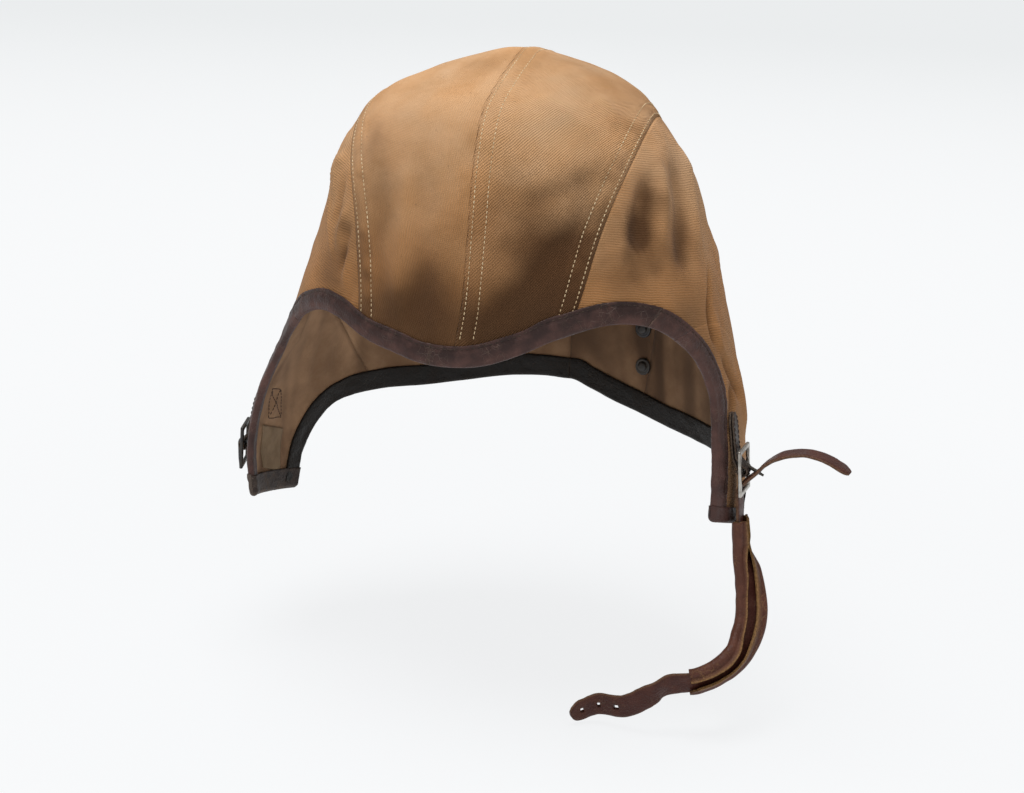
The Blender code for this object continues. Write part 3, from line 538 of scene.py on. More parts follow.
def worn_masks(cloth, stains, low):
    """How soiled and how faded each place on the cloth is; the soil mask also holds painted shade in
    the creases and low at the front.
    """
    x, y, z = np.moveaxis(cloth.base, -1, 0)
    soil_and_shade = 0.08 + 0.12 * soft_noise(x, y + z, 0.03, 11) + 0.06 * soft_noise(x + z, y, 0.011, 12)
    for spot in stains:
        soil_and_shade = soil_and_shade + stain(cloth, *spot)
    # Painted shade over some real dirt: darker in the creases, stitch dips and shoulder hollow. Next, a
    # little paler on the raised folds.
    soil_and_shade = soil_and_shade + (0.42 if cloth.side > 0 else 0.25) * np.clip(-cloth.height / 0.0028, 0, 1)
    soil_and_shade = soil_and_shade - 0.12 * np.clip(cloth.height / 0.002, 0, 1)
    # Darker towards the front edge: partly grime, partly painted shade under the top light.
    soil_and_shade = soil_and_shade + low * (1 - rise(cloth.back, 0.01, 0.085))
    blotched = 0.5 + 0.5 * soft_noise(cloth.back, cloth.down, 0.006, 14)
    on_crown = cloth.place[-1, 0] == SEAM
    band = bump(cloth.to_end - 0.005, 0.0055) if on_crown else bump(cloth.down, 0.004)
    soil_and_shade = soil_and_shade + 0.3 * band * blotched ** 2
    fade = rise(z, -0.125, -0.006) + 0.15 * soft_noise(x, y, 0.04, 13) + 0.45 * rise(-z, 0.15, 0.185)
    return {"soil_and_shade": np.clip(soil_and_shade, 0, 1.2), "fade": np.clip(fade, 0, 1)}


DENT_DEPTH, DENT_HALF = 0.0042, 0.024


def shoulder_dent(cloth):
    """The slack hollow over the left side seam, where nothing fills the helmet."""
    centre = surface(1, SEAM, 0.5)[0]
    return -DENT_DEPTH * bump(np.linalg.norm(cloth.base - centre, axis=-1), DENT_HALF)


def crown_relief(cloth):
    """Height of the crown's cloth over its pattern: seams, dips between them and slack folds."""
    side = cloth.side
    wide = 0.0009 * soft_noise(cloth.down, cloth.back, 0.034, 21 + side)
    fine = 0.0003 * soft_noise(cloth.down, cloth.back, 0.011, 23 + side)
    height = (wide + fine) * rise(cloth.down, 0, 0.012) * rise(cloth.to_end, 0, 0.012)
    if side > 0:
        height = height + sewn_dip(cloth.down)
    height = height + sewn_dip(cloth.to_end)
    for stops, half_width, tall in crown_folds[side]:
        height = height + crease(cloth.base, side, stops, half_width, CROWN_SLACK[side] * tall)
    height = height + shoulder_dent(cloth)
    return height * rise(cloth.back, -0.004, 0.010) * rise(cloth.to_nape, -0.004, 0.010)


CROWN_SLACK = {1: 1.8, -1: 1.2}
crown_folds = {
    1: (
        (((0.6, 0.3), (1.6, 0.27), (2.6, 0.24)), 0.006, 0.0009),
        (((1.0, 0.14), (2.0, 0.17), (2.9, 0.2)), 0.005, -0.0008),
        (((1.5, 0.05), (2.4, 0.1), (3.0, 0.16)), 0.007, -0.0010),
        (((2.9, 0.27), (2.4, 0.3), (1.8, 0.33)), 0.004, 0.0008),
        (((0.5, 0.03), (0.9, 0.09), (1.0, 0.17)), 0.008, 0.0008),
    ),
    -1: (
        (((1.5, 0.24), (1.7, 0.16), (1.9, 0.09), (1.8, 0.03)), 0.004, 0.0013),
        (((2.3, 0.24), (2.4, 0.17), (2.5, 0.1), (2.4, 0.04)), 0.005, -0.0011),
        (((1.1, 0.13), (1.2, 0.08), (1.3, 0.02)), 0.007, -0.0011),
        (((2.6, 0.13), (2.2, 0.08), (2.0, 0.04)), 0.004, 0.0008),
        (((0.5, 0.24), (0.7, 0.17), (0.6, 0.1)), 0.006, 0.0007),
    ),
}
crown_stains = {
    1: (
        (0.9, 0.17, 0.014, 0.16), (1.4, 0.15, 0.016, 0.2), (1.9, 0.11, 0.022, 0.26),
        (2.6, 0.06, 0.026, 0.3), (1.3, 0.05, 0.024, 0.22), (0.5, 0.04, 0.018, 0.2),
        (2.9, 0.13, 0.016, 0.2), (2.5, 0.2, 0.010, 0.16), (2.1, 0.03, 0.026, 0.22),
        (0.3, 0.12, 0.012, 0.14), (3.1, 0.22, 0.008, 0.25), (2.7, 0.3, 0.012, 0.14),
    ),
    -1: (
        (1.2, 0.06, 0.018, 0.3), (1.6, 0.03, 0.014, 0.2), (0.5, 0.1, 0.016, 0.16),
        (2.6, 0.24, 0.010, 0.35), (0.6, 0.17, 0.014, 0.12), (0.4, 0.03, 0.014, 0.16),
        (2.7, 0.17, 0.008, 0.12), (0.2, 0.22, 0.006, 0.2),
    ),
}


def cut_from(cloth, rows=slice(None)):
    """The widest, the longest and the area that a piece of cloth was cut."""
    base, down = cloth.base[rows], cloth.down[rows]
    width, length = float(cloth.back[rows, -1].max()), float((down[-1] - down[0]).max())
    over = base[1:, 1:] - base[:-1, :-1]
    other = base[1:, :-1] - base[:-1, 1:]
    area = float(np.linalg.norm(np.cross(over, other), axis=-1).sum() / 2)
    return {"flat": (width, length), "area": min(area, width * length)}


crown_ribs = {1: (math.radians(133), 0.00118, 0.0004), -1: (math.radians(6), 0.00105, 0.00024)}
GRID_STEP = 0.0016
crown_cloths = {}
for side, label in SIDES:
    cloth = Cloth(side, CENTRE, SEAM, GRID_STEP)
    cloth.height = crown_relief(cloth)
    crown_cloths[side] = cloth
    panel = grid_mesh(
        f"crown_cloth_{label}", cloth.at(0), cloth.at(-CLOTH), (cloth.down, cloth.back),
        worn_masks(cloth, crown_stains[side], 0.5),
    )
    panel.data.materials.append(drill_cloth(f"tan_drill_crown_{label}", *crown_ribs[side]))
    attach(panel, "shell")
    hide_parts(f"crown_panel_{label}")


# Side panels and ear flaps
# Each side panel runs down into its ear flap in one cut of drill, gathered into the side seam and
# folding out along a soft crease below the ear. Here it is parted just above that crease, so that
# the temple stays still, and its last rows are sunk under the part that folds.
side_folds = {
    1: (
        (((3.5, 0.25), (3.9, 0.17), (4.1, 0.1)), 0.0065, -0.0026),
        (((3.45, 0.30), (3.9, 0.25), (4.3, 0.19), (4.6, 0.13)), 0.0045, 0.0024),
        (((3.6, 0.37), (4.2, 0.31), (4.9, 0.22), (5.3, 0.15)), 0.0075, -0.0028),
        (((3.6, 0.44), (4.4, 0.38), (5.2, 0.29)), 0.006, 0.0016),
        (((3.4, 0.17), (3.7, 0.12), (3.9, 0.06)), 0.004, 0.0012),
        (((4.3, 0.05), (4.6, 0.1), (5.0, 0.12)), 0.006, -0.0010),
        (((5.3, 0.36), (5.9, 0.26), (6.4, 0.21), (6.9, 0.21)), 0.0024, -0.0022),
        (((6.7, 0.21), (7.0, 0.27), (7.3, 0.4), (7.4, 0.52)), 0.0028, -0.0020),
        (((6.0, 0.30), (6.6, 0.25), (7.1, 0.33)), 0.004, 0.0012),
        (((7.3, 0.3), (7.9, 0.26), (8.4, 0.22)), 0.0035, -0.0014),
        (((6.3, 0.5), (7.2, 0.55), (7.8, 0.7)), 0.006, 0.0014),
        (((3.5, 0.55), (4.4, 0.52), (5.6, 0.5)), 0.007, -0.0016),
        (((3.5, 0.72), (4.5, 0.7), (5.6, 0.68)), 0.007, -0.0015),
        (((3.5, 0.64), (4.3, 0.61), (5.2, 0.6)), 0.006, 0.0014),
        (((8.6, 0.35), (9.3, 0.45), (10, 0.5)), 0.006, -0.0010),
    ),
    -1: (
        (((3.4, 0.27), (3.8, 0.24), (4.1, 0.19)), 0.0028, 0.0016),
        (((3.4, 0.22), (3.8, 0.18), (4.1, 0.13)), 0.0026, -0.0018),
        (((3.4, 0.17), (3.7, 0.14), (4.0, 0.09)), 0.0028, 0.0016),
        (((3.4, 0.14), (3.6, 0.11), (3.9, 0.06)), 0.0024, -0.0018),
        (((3.4, 0.1), (3.6, 0.08), (3.8, 0.03)), 0.0026, 0.0015),
        (((3.35, 0.06), (3.5, 0.04), (3.7, 0.015)), 0.002, -0.0014),
        (((3.6, 0.33), (4.1, 0.24), (4.3, 0.15), (4.2, 0.06)), 0.0022, 0.0011),
        (((3.7, 0.38), (4.6, 0.33), (5.4, 0.3)), 0.006, -0.0016),
        (((3.6, 0.5), (4.6, 0.47), (5.6, 0.46)), 0.007, 0.0015),
        (((3.6, 0.64), (4.6, 0.62), (5.6, 0.6)), 0.007, -0.0015),
        (((6.2, 0.3), (6.9, 0.33), (7.5, 0.4)), 0.0035, -0.0016),
        (((6.4, 0.45), (7.4, 0.55), (7.9, 0.7)), 0.005, 0.0014),
        (((8.5, 0.4), (9.3, 0.45), (10.1, 0.5)), 0.006, -0.0010),
    ),
}
side_stains = {
    1: (
        (4.0, 0.14, 0.012, 0.55), (4.0, 0.22, 0.008, 0.5), (3.7, 0.27, 0.007, 0.45),
        (5.1, 0.17, 0.010, 0.25), (3.8, 0.07, 0.012, 0.3), (4.8, 0.28, 0.010, 0.25),
        (6.0, 0.08, 0.010, 0.25), (6.9, 0.12, 0.009, 0.3), (7.6, 0.3, 0.010, 0.25),
        (9.0, 0.1, 0.012, 0.3), (10.2, 0.3, 0.014, 0.3), (4.6, 0.6, 0.018, 0.3),
    ),
    -1: (
        (3.7, 0.13, 0.005, 0.35), (3.7, 0.09, 0.005, 0.35), (4.4, 0.05, 0.012, 0.2),
        (5.6, 0.3, 0.014, 0.25), (9.6, 0.3, 0.016, 0.3), (4.2, 0.6, 0.02, 0.3),
    ),
}
side_ribs = {1: (math.radians(-7), 0.00115, 0.00018), -1: (math.radians(9), 0.00115, 0.0002)}
CUT_PLACE = 6.25
TUCK, TUCK_ROWS = 0.0003, 2
SIDE_SLACK = {1: 1.3, -1: 1.1}
PUCKER = {1: 0.0007, -1: 0.0012}


def side_relief(cloth):
    """Height of a side panel's cloth: gathers under the seam, the flap's crease and slack."""
    side = cloth.side
    pucker = soft_noise(cloth.back, 0.3 * cloth.down, 0.0065, 31 + side)
    height = PUCKER[side] * pucker * rise(cloth.down, 0.0006, 0.004) * bump(cloth.down, 0.022)
    wide = 0.0009 * soft_noise(cloth.down, cloth.back, 0.036, 33 + side)
    fine = 0.0004 * soft_noise(cloth.down, cloth.back, 0.012, 35 + side)
    height = height + (wide + fine) * rise(cloth.down, 0, 0.015)
    for stops, half_width, tall in side_folds[side]:
        height = height + crease(cloth.base, side, stops, half_width, SIDE_SLACK[side] * tall)
    height = height * rise(cloth.down, -0.002, 0.012) + shoulder_dent(cloth)
    edges = rise(cloth.back, 0, 0.016) * rise(cloth.to_nape, 0, 0.018) * rise(cloth.to_end, 0, 0.016)
    return height * edges


def still_and_folding(cloth, overlap=0):
    """The rows of a cloth that stay with the shell, and the rows that the fold moves."""
    row = int(np.argmin(abs(cloth.place[:, 0] - CUT_PLACE)))
    return slice(None, row + 1 + overlap), slice(row, None)


def tucked(cloth, height, rows, folding):
    """A layer of a cloth, with its still part's last rows sunk under the folding part."""
    points = cloth.at(height)[rows]
    if not folding:
        points[-TUCK_ROWS:] -= TUCK * cloth.square[rows][-TUCK_ROWS:]
    return points


def moves_with(piece, folding):
    """A piece of one side rides the shell, or is left apart from it with its transform baked in."""
    if folding:
        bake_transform(piece)
    else:
        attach(piece, "shell")


side_cloths = {}
for side, label in SIDES:
    cloth = Cloth(side, SEAM, TIP, GRID_STEP)
    cloth.height = side_relief(cloth)
    side_cloths[side] = cloth
    masks = worn_masks(cloth, side_stains[side], 0.12)
    drill = drill_cloth(f"tan_drill_side_{label}", *side_ribs[side])
    for folding, rows in enumerate(still_and_folding(cloth, TUCK_ROWS)):
        panel = grid_mesh(
            f"{('side', 'flap')[folding]}_cloth_{label}", tucked(cloth, 0, rows, folding),
            tucked(cloth, -CLOTH, rows, folding), (cloth.sunk[rows], cloth.round[rows]),
            {mask: values[rows] for mask, values in masks.items()},
        )
        panel.data.materials.append(drill)
        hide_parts(f"side_panel_{label}", *[f"ear_flap_panel_{label}"] * folding)
        moves_with(panel, folding)


# Linings
# A lining of plain brown cotton is cut to the same pattern, lies inside the drill and is caught
# under the leather at every edge. It hangs a little slack, and it is darker higher up inside the
# helmet and towards the nape.
LINING, LINING_DEPTH, LINING_STEP = 0.0008, -0.0023, 0.003
DARK_COTTON, PALE_COTTON = (0.27, 0.155, 0.085), (0.46, 0.275, 0.155)
SOILED_COTTON, THREAD_COTTON = (0.1, 0.056, 0.033), (0.3, 0.2, 0.13)
LEFT_STAIN = (3.1, 0.9, 0.014, 0.45)


def cotton_weave():
    """Plain weave: fine threads over and under, as a height."""
    tree, given, out = group("cotton_weave", (
        ("Flat", "Vector", (0, 0, 0)), ("Thread", "Float", 0.0007),
    ), (("Height", "Float"),))
    split = tree.nodes.new("ShaderNodeSeparateXYZ")
    tree.links.new(given.outputs["Flat"], split.inputs[0])
    waves = []
    for axis in (0, 1):
        turn = math_node(tree, "DIVIDE", split.outputs[axis], given.outputs["Thread"])
        waves.append(math_node(tree, "SINE", times(tree, turn, 2 * math.pi)))
    height = math_node(tree, "MULTIPLY_ADD", times(tree, *waves), 0.5, 0.5)
    tree.links.new(height, out.inputs["Height"])
    return tree


COTTON = cotton_weave()


def lining_cotton():
    """Thin brown cotton, paler in patches and darker where its mask is high."""
    made, tree, shader = new_material(
        "brown_cotton_lining", 0.9, Sheen_Weight=0.05, Specular_IOR_Level=0.1,
    )
    place = object_place(tree)
    patches = fitted(tree, MOTTLE, Place=place, Patch=0.025)
    weave = fitted(tree, COTTON, Flat=flat_place(tree), Thread=0.0008)
    colour = mixed(tree, patches.outputs["Patches"], DARK_COTTON, PALE_COTTON)
    colour = mixed(tree, ramp_node(tree, mask_node(tree, "soil_and_shade"), 0.1, 1), colour, SOILED_COTTON)
    colour = mixed(tree, times(tree, weave.outputs["Height"], 0.15), colour, THREAD_COTTON)
    tree.links.new(colour, shader.inputs["Base Color"])
    threads = bumped(tree, weave.outputs["Height"], 0.3, 0.0002)
    lumps = noise_node(tree, place, 120, 3)
    tree.links.new(bumped(tree, lumps, 0.35, 0.001, threads), shader.inputs["Normal"])
    return made


BROWN_COTTON = lining_cotton()
PINCH = 0.0009
lining_cloths = {}
for side, label in SIDES:
    for kind, first, last, over in (
        ("crown", CENTRE, SEAM, crown_cloths[side]), ("side", SEAM, TIP, side_cloths[side]),
    ):
        cloth = Cloth(side, first, last, LINING_STEP)
        slack = 0.0012 * soft_noise(cloth.down, cloth.back, 0.02, 41 + side)
        pinched = 1 - rise(cloth.back, 0, 0.016) * rise(cloth.to_nape, 0, 0.018)
        loose = rise(cloth.back, 0.009, 0.03) * rise(cloth.to_nape, 0.014, 0.034)
        loose = loose * rise(cloth.down, 0, 0.02)
        if kind == "side":
            pinched = 1 - (1 - pinched) * rise(cloth.to_end, 0, 0.016)
            loose = loose * rise(cloth.to_end, 0.01, 0.03)
        else:
            loose = loose * rise(cloth.to_end, 0, 0.02)
        dented = np.minimum(over.relief(cloth.place, cloth.share), 0)
        cloth.height = dented + PINCH * pinched - (0.0008 + abs(slack)) * loose
        z = cloth.base[..., 2]
        # The lining's mask: a random base, darker higher up inside the helmet and towards the nape,
        # more so on the left, and a stain on the left.
        soil_and_shade = 0.25 + 0.35 * soft_noise(cloth.down, cloth.back, 0.016, 43) + 0.4 * rise(-z, 0.17, 0.1)
        soil_and_shade = soil_and_shade + (0.35 if side > 0 else 0.1) * rise(-cloth.to_nape, -0.06, -0.035)
        if side > 0:
            soil_and_shade = soil_and_shade + stain(cloth, *LEFT_STAIN)
        parts = still_and_folding(cloth) if kind == "side" else (slice(None),)
        for folding, rows in enumerate(parts):
            lining = grid_mesh(
                f"{'flap' if folding else kind}_lining_cloth_{label}", cloth.at(LINING_DEPTH)[rows],
                cloth.at(LINING_DEPTH - LINING)[rows], (cloth.down[rows], cloth.back[rows]),
                {"soil_and_shade": np.clip(soil_and_shade, 0, 1)[rows]},
            )
            lining.data.materials.append(BROWN_COTTON)
            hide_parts(f"{kind}_lining_{label}", *[f"ear_flap_lining_{label}"] * folding)
            moves_with(lining, folding)
        lining_cloths[kind, side] = cloth


# Seam tapes
# Cotton tapes lie behind the centre seam and the two side seams, between the drill and the
# lining, and the twin rows of stitching are sewn through them.
TAPE, TAPE_HALF, TAPE_SHORT = 0.0005, 0.0092, 0.001
FRONT_WIDTH, NAPE_WIDTH, TIP_WIDTH = 0.0085, 0.013, 0.010


def relief_at(side, place, share):
    """The drill's relief anywhere on one side."""
    crown = crown_cloths[side].relief(place, share)
    return np.where(place < SEAM, crown, side_cloths[side].relief(place, share))


def inset(side, place, edge, distance):
    """The shares that lie at distances in from an edge of the pattern."""
    nudge_share = 0.001
    start = surface(side, place, edge)[0]
    across = surface(side, place, edge + nudge_share)[0] - start
    onward = surface(side, place + nudge_share, edge)[0] - start
    speed = np.linalg.norm(np.cross(across, onward), axis=-1) / np.linalg.norm(onward, axis=-1)
    return edge + (distance if edge == 0 else -distance) * nudge_share / speed


def tape_cotton():
    """Plain tan cotton tape."""
    made, tree, shader = new_material("cotton_tape", 0.9, Specular_IOR_Level=0.15)
    place = object_place(tree)
    patches = fitted(tree, MOTTLE, Place=place, Patch=0.012)
    colour = mixed(tree, patches.outputs["Patches"], (0.3, 0.21, 0.13), (0.22, 0.15, 0.09))
    tree.links.new(colour, shader.inputs["Base Color"])
    tree.links.new(bumped(tree, noise_node(tree, place, 900, 2), 0.4, 0.0003), shader.inputs["Normal"])
    return made


def seam_tape(name, halves):
    """A tape behind a seam, through halves of (side, first place, last place)."""
    outer_parts, inner_parts = [], []
    share_step = np.linspace(0, 1, 90)
    for index, (side, first, last) in enumerate(halves):
        place = np.linspace(first, last, 8)[index:, None]
        start = inset(side, place, 0, FRONT_WIDTH + TAPE_SHORT)
        end = inset(side, place, 1, NAPE_WIDTH + TAPE_SHORT)
        share = start + (end - start) * share_step
        point, square = surface(side, place + 0 * share, share)
        height = relief_at(side, place + 0 * share, share) - CLOTH - 0.0001
        outer_parts.append(point + square * height[..., None])
        inner_parts.append(point - square * TAPE + square * height[..., None])
    outer, inner = np.concatenate(outer_parts), np.concatenate(inner_parts)
    tape = grid_mesh(f"{name}_cotton", outer, inner)
    tape.data.materials.append(COTTON_TAPE)
    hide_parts(name)
    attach(tape, "shell")


COTTON_TAPE = tape_cotton()
half_place = SEAM * TAPE_HALF / crown_cloths[1].down[-1].mean()
seam_tape("seam_tape_centre", ((-1, half_place, CENTRE), (1, CENTRE, half_place)))
for side, label in SIDES:
    inboard = SEAM - SEAM * TAPE_HALF / crown_cloths[side].down[-1].mean()
    outboard = SEAM + (TIP - SEAM) * TAPE_HALF / side_cloths[side].down[-1].mean()
    seam_tape(f"seam_tape_{label}", ((side, inboard, SEAM), (side, SEAM, outboard)))


# Seam stitching
# Cream thread in twin rows a quarter inch apart runs beside each seam of the crown, through the
# turned edge and the tape.
def lengths_along(path):
    """How far each point of a path lies along it."""
    return np.concatenate([[0], np.linalg.norm(np.diff(path, axis=0), axis=-1).cumsum()])


def picked(at, run, line):
    """Points of a line at given lengths along it."""
    return np.stack([np.interp(at, run, line[:, axis]) for axis in range(3)], -1)


def ring_faces(rings, sides):
    """The faces of a round bar made of rings of points, with its two ends closed."""
    number = np.arange(rings * sides).reshape(rings, sides)
    onward = np.roll(number, -1, 1)
    walls = np.stack([number[:-1], onward[:-1], onward[1:], number[1:]], -1).reshape(-1, 4)
    caps = [
        ring[[0, step, step + 1, step + 2]][::way]
        for ring, way in ((number[0], -1), (number[-1], 1)) for step in range(1, sides - 2, 2)
    ]
    return np.concatenate([walls, caps])


def thread(name, runs, finish, pitch, length, radius):
    """Stitches as short rounded lengths of thread along runs of points and their squares."""
    sides, rings = 6, np.array((-1, -0.82, -0.3, 0.3, 0.82, 1))
    thick = np.array((0.4, 0.85, 1, 1, 0.85, 0.4))
    sunk = np.array((-0.9, -0.2, 0.35, 0.35, -0.2, -0.9))
    turn = np.arange(sides) / sides * 2 * math.pi
    chance = np.random.default_rng(17)
    points = []
    for line, squares in runs:
        run = lengths_along(line)
        middle = np.arange(pitch / 2, run[-1] - pitch / 2, pitch)
        middle = middle + chance.uniform(-0.08, 0.08, len(middle)) * pitch
        place = middle[:, None] + rings * length / 2
        centre, square = picked(place, run, line), picked(place, run, squares)
        ahead = unit(centre[:, -1:] - centre[:, :1])
        across = np.cross(square, ahead)
        across = across + 0.16 * chance.uniform(-1, 1, (len(middle), 1, 1)) * ahead
        centre = centre + square * (radius * sunk)[:, None]
        reach = (radius * thick)[:, None, None]
        points.append((
            centre[..., None, :] + across[..., None, :] * np.cos(turn)[:, None] * reach
            + square[..., None, :] * np.sin(turn)[:, None] * reach
        ).reshape(-1, len(rings) * sides, 3))
    points = np.concatenate(points)
    faces = ring_faces(len(rings), sides)
    offsets = np.arange(len(points))[:, None, None] * len(rings) * sides
    made = solid_mesh(name, points.reshape(-1, 3), (faces + offsets).reshape(-1, 4))
    made.data.materials.append(finish)
    return made


def thread_cotton(name, colour, dirt):
    """Twisted cotton thread, dirty in patches."""
    made, tree, shader = new_material(name, 0.75, Specular_IOR_Level=0.25)
    place = object_place(tree)
    patches = fitted(tree, MOTTLE, Place=place, Patch=0.014)
    shade = mixed(tree, patches.outputs["Patches"], colour, dirt)
    tree.links.new(shade, shader.inputs["Base Color"])
    strands = noise_node(tree, place, 2600, 1)
    tree.links.new(bumped(tree, strands, 0.3, 0.0001), shader.inputs["Normal"])
    return made


def seam_row(cloth, measure, distance):
    """The line on the cloth at a distance from a seam, between the two bindings."""
    outer = cloth.at(0)
    rows = np.arange(outer.shape[0])
    rising = measure[-1, 0] > measure[0, 0]
    points, squares = [], []
    for column in range(outer.shape[1]):
        if min(cloth.back[0, column] - FRONT_WIDTH, cloth.to_nape[0, column] - NAPE_WIDTH) < 0.001:
            continue
        line = measure[:, column]
        row = np.interp(distance, line, rows) if rising else np.interp(-distance, -line, rows)
        points.append(picked(row, rows, outer[:, column]))
        squares.append(picked(row, rows, cloth.square[:, column]))
    return np.array(points), np.array(squares)


CREAM_THREAD = thread_cotton("cream_thread", (0.76, 0.6, 0.38), (0.42, 0.28, 0.15))
DARK_THREAD = thread_cotton("dark_thread", (0.035, 0.024, 0.02), (0.09, 0.06, 0.045))
SEAM_STITCH = {"pitch": 0.0023, "length": 0.00155, "radius": 0.00027}
seam_rows = {"centre": [], "left": [], "right": []}
for distance in (ROW_INSET, ROW_INSET + ROW_GAP):
    seam_rows["centre"].append(seam_row(crown_cloths[1], crown_cloths[1].down, distance))
    for side, label in SIDES:
        seam_rows[label].append(seam_row(crown_cloths[side], crown_cloths[side].to_end, distance))
for label, runs in seam_rows.items():
    stitches = thread(f"seam_stitches_{label}", runs, CREAM_THREAD, **SEAM_STITCH)
    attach(stitches, "shell")


# Leather bindings
# Thin purple-brown leather is folded over the front edge in three lengths that butt at the brow
# and below the left temple, sewn down in dark thread and cracked where it flexes. The two lengths
# at the temples are parted above the flap's fold, as the cloth is.
BINDING, BINDING_GAP, LAYERS = 0.0007, 0.0001, 0.0022
BINDING_STEP, LEATHER_SEWN = 0.0011, 0.0019
LEFT_JOIN, RIGHT_JOIN = 5.357, 0.75
BINDING_STITCH = {"pitch": 0.0028, "length": 0.0021, "radius": 0.00022}


def leather_skin():
    """Grain in small creased cells, longer cracks where leather has flexed, and worn patches."""
    tree, given, out = group("leather_skin", (
        ("Place", "Vector", (0, 0, 0)), ("Grain", "Float", 0.0011), ("Crack", "Float", 0.003),
    ), (("Height", "Float"), ("Cracks", "Float"), ("Wear", "Float")))
    place = given.outputs["Place"]
    cells = tree.nodes.new("ShaderNodeTexVoronoi")
    tree.links.new(place, cells.inputs["Vector"])
    tree.links.new(math_node(tree, "DIVIDE", 1.0, given.outputs["Grain"]), cells.inputs["Scale"])
    bend = tree.nodes.new("ShaderNodeTexNoise")
    bend.inputs["Scale"].default_value = 260
    tree.links.new(place, bend.inputs["Vector"])
    warp = tree.nodes.new("ShaderNodeVectorMath")
    warp.operation = "MULTIPLY_ADD"
    warp.inputs[1].default_value = (0.003, 0.003, 0.003)
    tree.links.new(bend.outputs["Color"], warp.inputs[0])
    tree.links.new(place, warp.inputs[2])
    lines = tree.nodes.new("ShaderNodeTexVoronoi")
    lines.feature = "DISTANCE_TO_EDGE"
    tree.links.new(warp.outputs[0], lines.inputs["Vector"])
    tree.links.new(math_node(tree, "DIVIDE", 1.0, given.outputs["Crack"]), lines.inputs["Scale"])
    thin = math_node(tree, "SUBTRACT", 1.0, ramp_node(tree, lines.outputs["Distance"], 0.0, 0.07))
    flexed = ramp_node(tree, noise_node(tree, place, 75, 3), 0.47, 0.62)
    cracks = times(tree, thin, flexed)
    tree.links.new(cracks, out.inputs["Cracks"])
    wear = noise_node(tree, place, 130, 6)
    tree.links.new(ramp_node(tree, wear, 0.42, 0.68), out.inputs["Wear"])
    rough = noise_node(tree, place, 520, 4)
    height = math_node(tree, "MULTIPLY_ADD", rough, 0.9, cells.outputs["Distance"])
    height = math_node(tree, "MULTIPLY_ADD", cracks, -1.3, height)
    tree.links.new(height, out.inputs["Height"])
    return tree


LEATHER_SKIN = leather_skin()


def worn_leather(name, dark, worn, raw, roughness, cracked, scuffed):
    """Old leather: dark skin, scuffed to a lighter shade, with pale cracks and raw edges."""
    made, tree, shader = new_material(name, roughness, Specular_IOR_Level=0.2)
    place = object_place(tree)
    skin = fitted(tree, LEATHER_SKIN, Place=place)
    rubbed = math_node(tree, "MULTIPLY_ADD", mask_node(tree, "wear"), 0.75,
                       times(tree, skin.outputs["Wear"], scuffed))
    colour = mixed(tree, math_node(tree, "MINIMUM", rubbed, 1.0), dark, worn)
    colour = mixed(tree, times(tree, skin.outputs["Cracks"], cracked), colour, raw)
    fibres = ramp_node(tree, noise_node(tree, place, 900, 3), 0.3, 0.7)
    raw_shade = mixed(tree, fibres, raw, tuple(0.55 * part for part in raw))
    colour = mixed(tree, mask_node(tree, "raw"), colour, raw_shade)
    tree.links.new(colour, shader.inputs["Base Color"])
    rough = math_node(tree, "MULTIPLY_ADD", skin.outputs["Wear"], 0.16, roughness - 0.05)
    rough = math_node(tree, "MULTIPLY_ADD", mask_node(tree, "raw"), 0.3, rough)
    tree.links.new(rough, shader.inputs["Roughness"])
    tree.links.new(bumped(tree, skin.outputs["Height"], 0.55, 0.00035), shader.inputs["Normal"])
    return made


def section_steps(width, inner_width):
    """Steps round a binding's section: its outer leg, its roll over the edge and its inner leg."""
    legs, turn = np.linspace(0, 1, 12), np.linspace(0, math.pi, 9)[1:-1]
    away = np.concatenate([width * (1 - legs), 0 * turn, inner_width * legs])
    angle = np.concatenate([0 * legs, turn, math.pi + 0 * legs])
    return away, angle


def wrapped(side, place, share, away, angle, thick, over=0.0):
    """Heights round the section, a thickness clear of the layers that the leather wraps."""
    soft = relief_at(side, place, share)
    radius = LAYERS / 2 + over + BINDING_GAP + thick
    outer = soft + over + BINDING_GAP + thick
    inner = np.minimum(soft, 0) - LAYERS - PINCH * rise(away, 0, 0.016) - over - BINDING_GAP - thick
    roll = -LAYERS / 2 + radius * np.cos(angle)
    return np.where(angle <= 0, outer, np.where(angle >= math.pi, inner, roll))


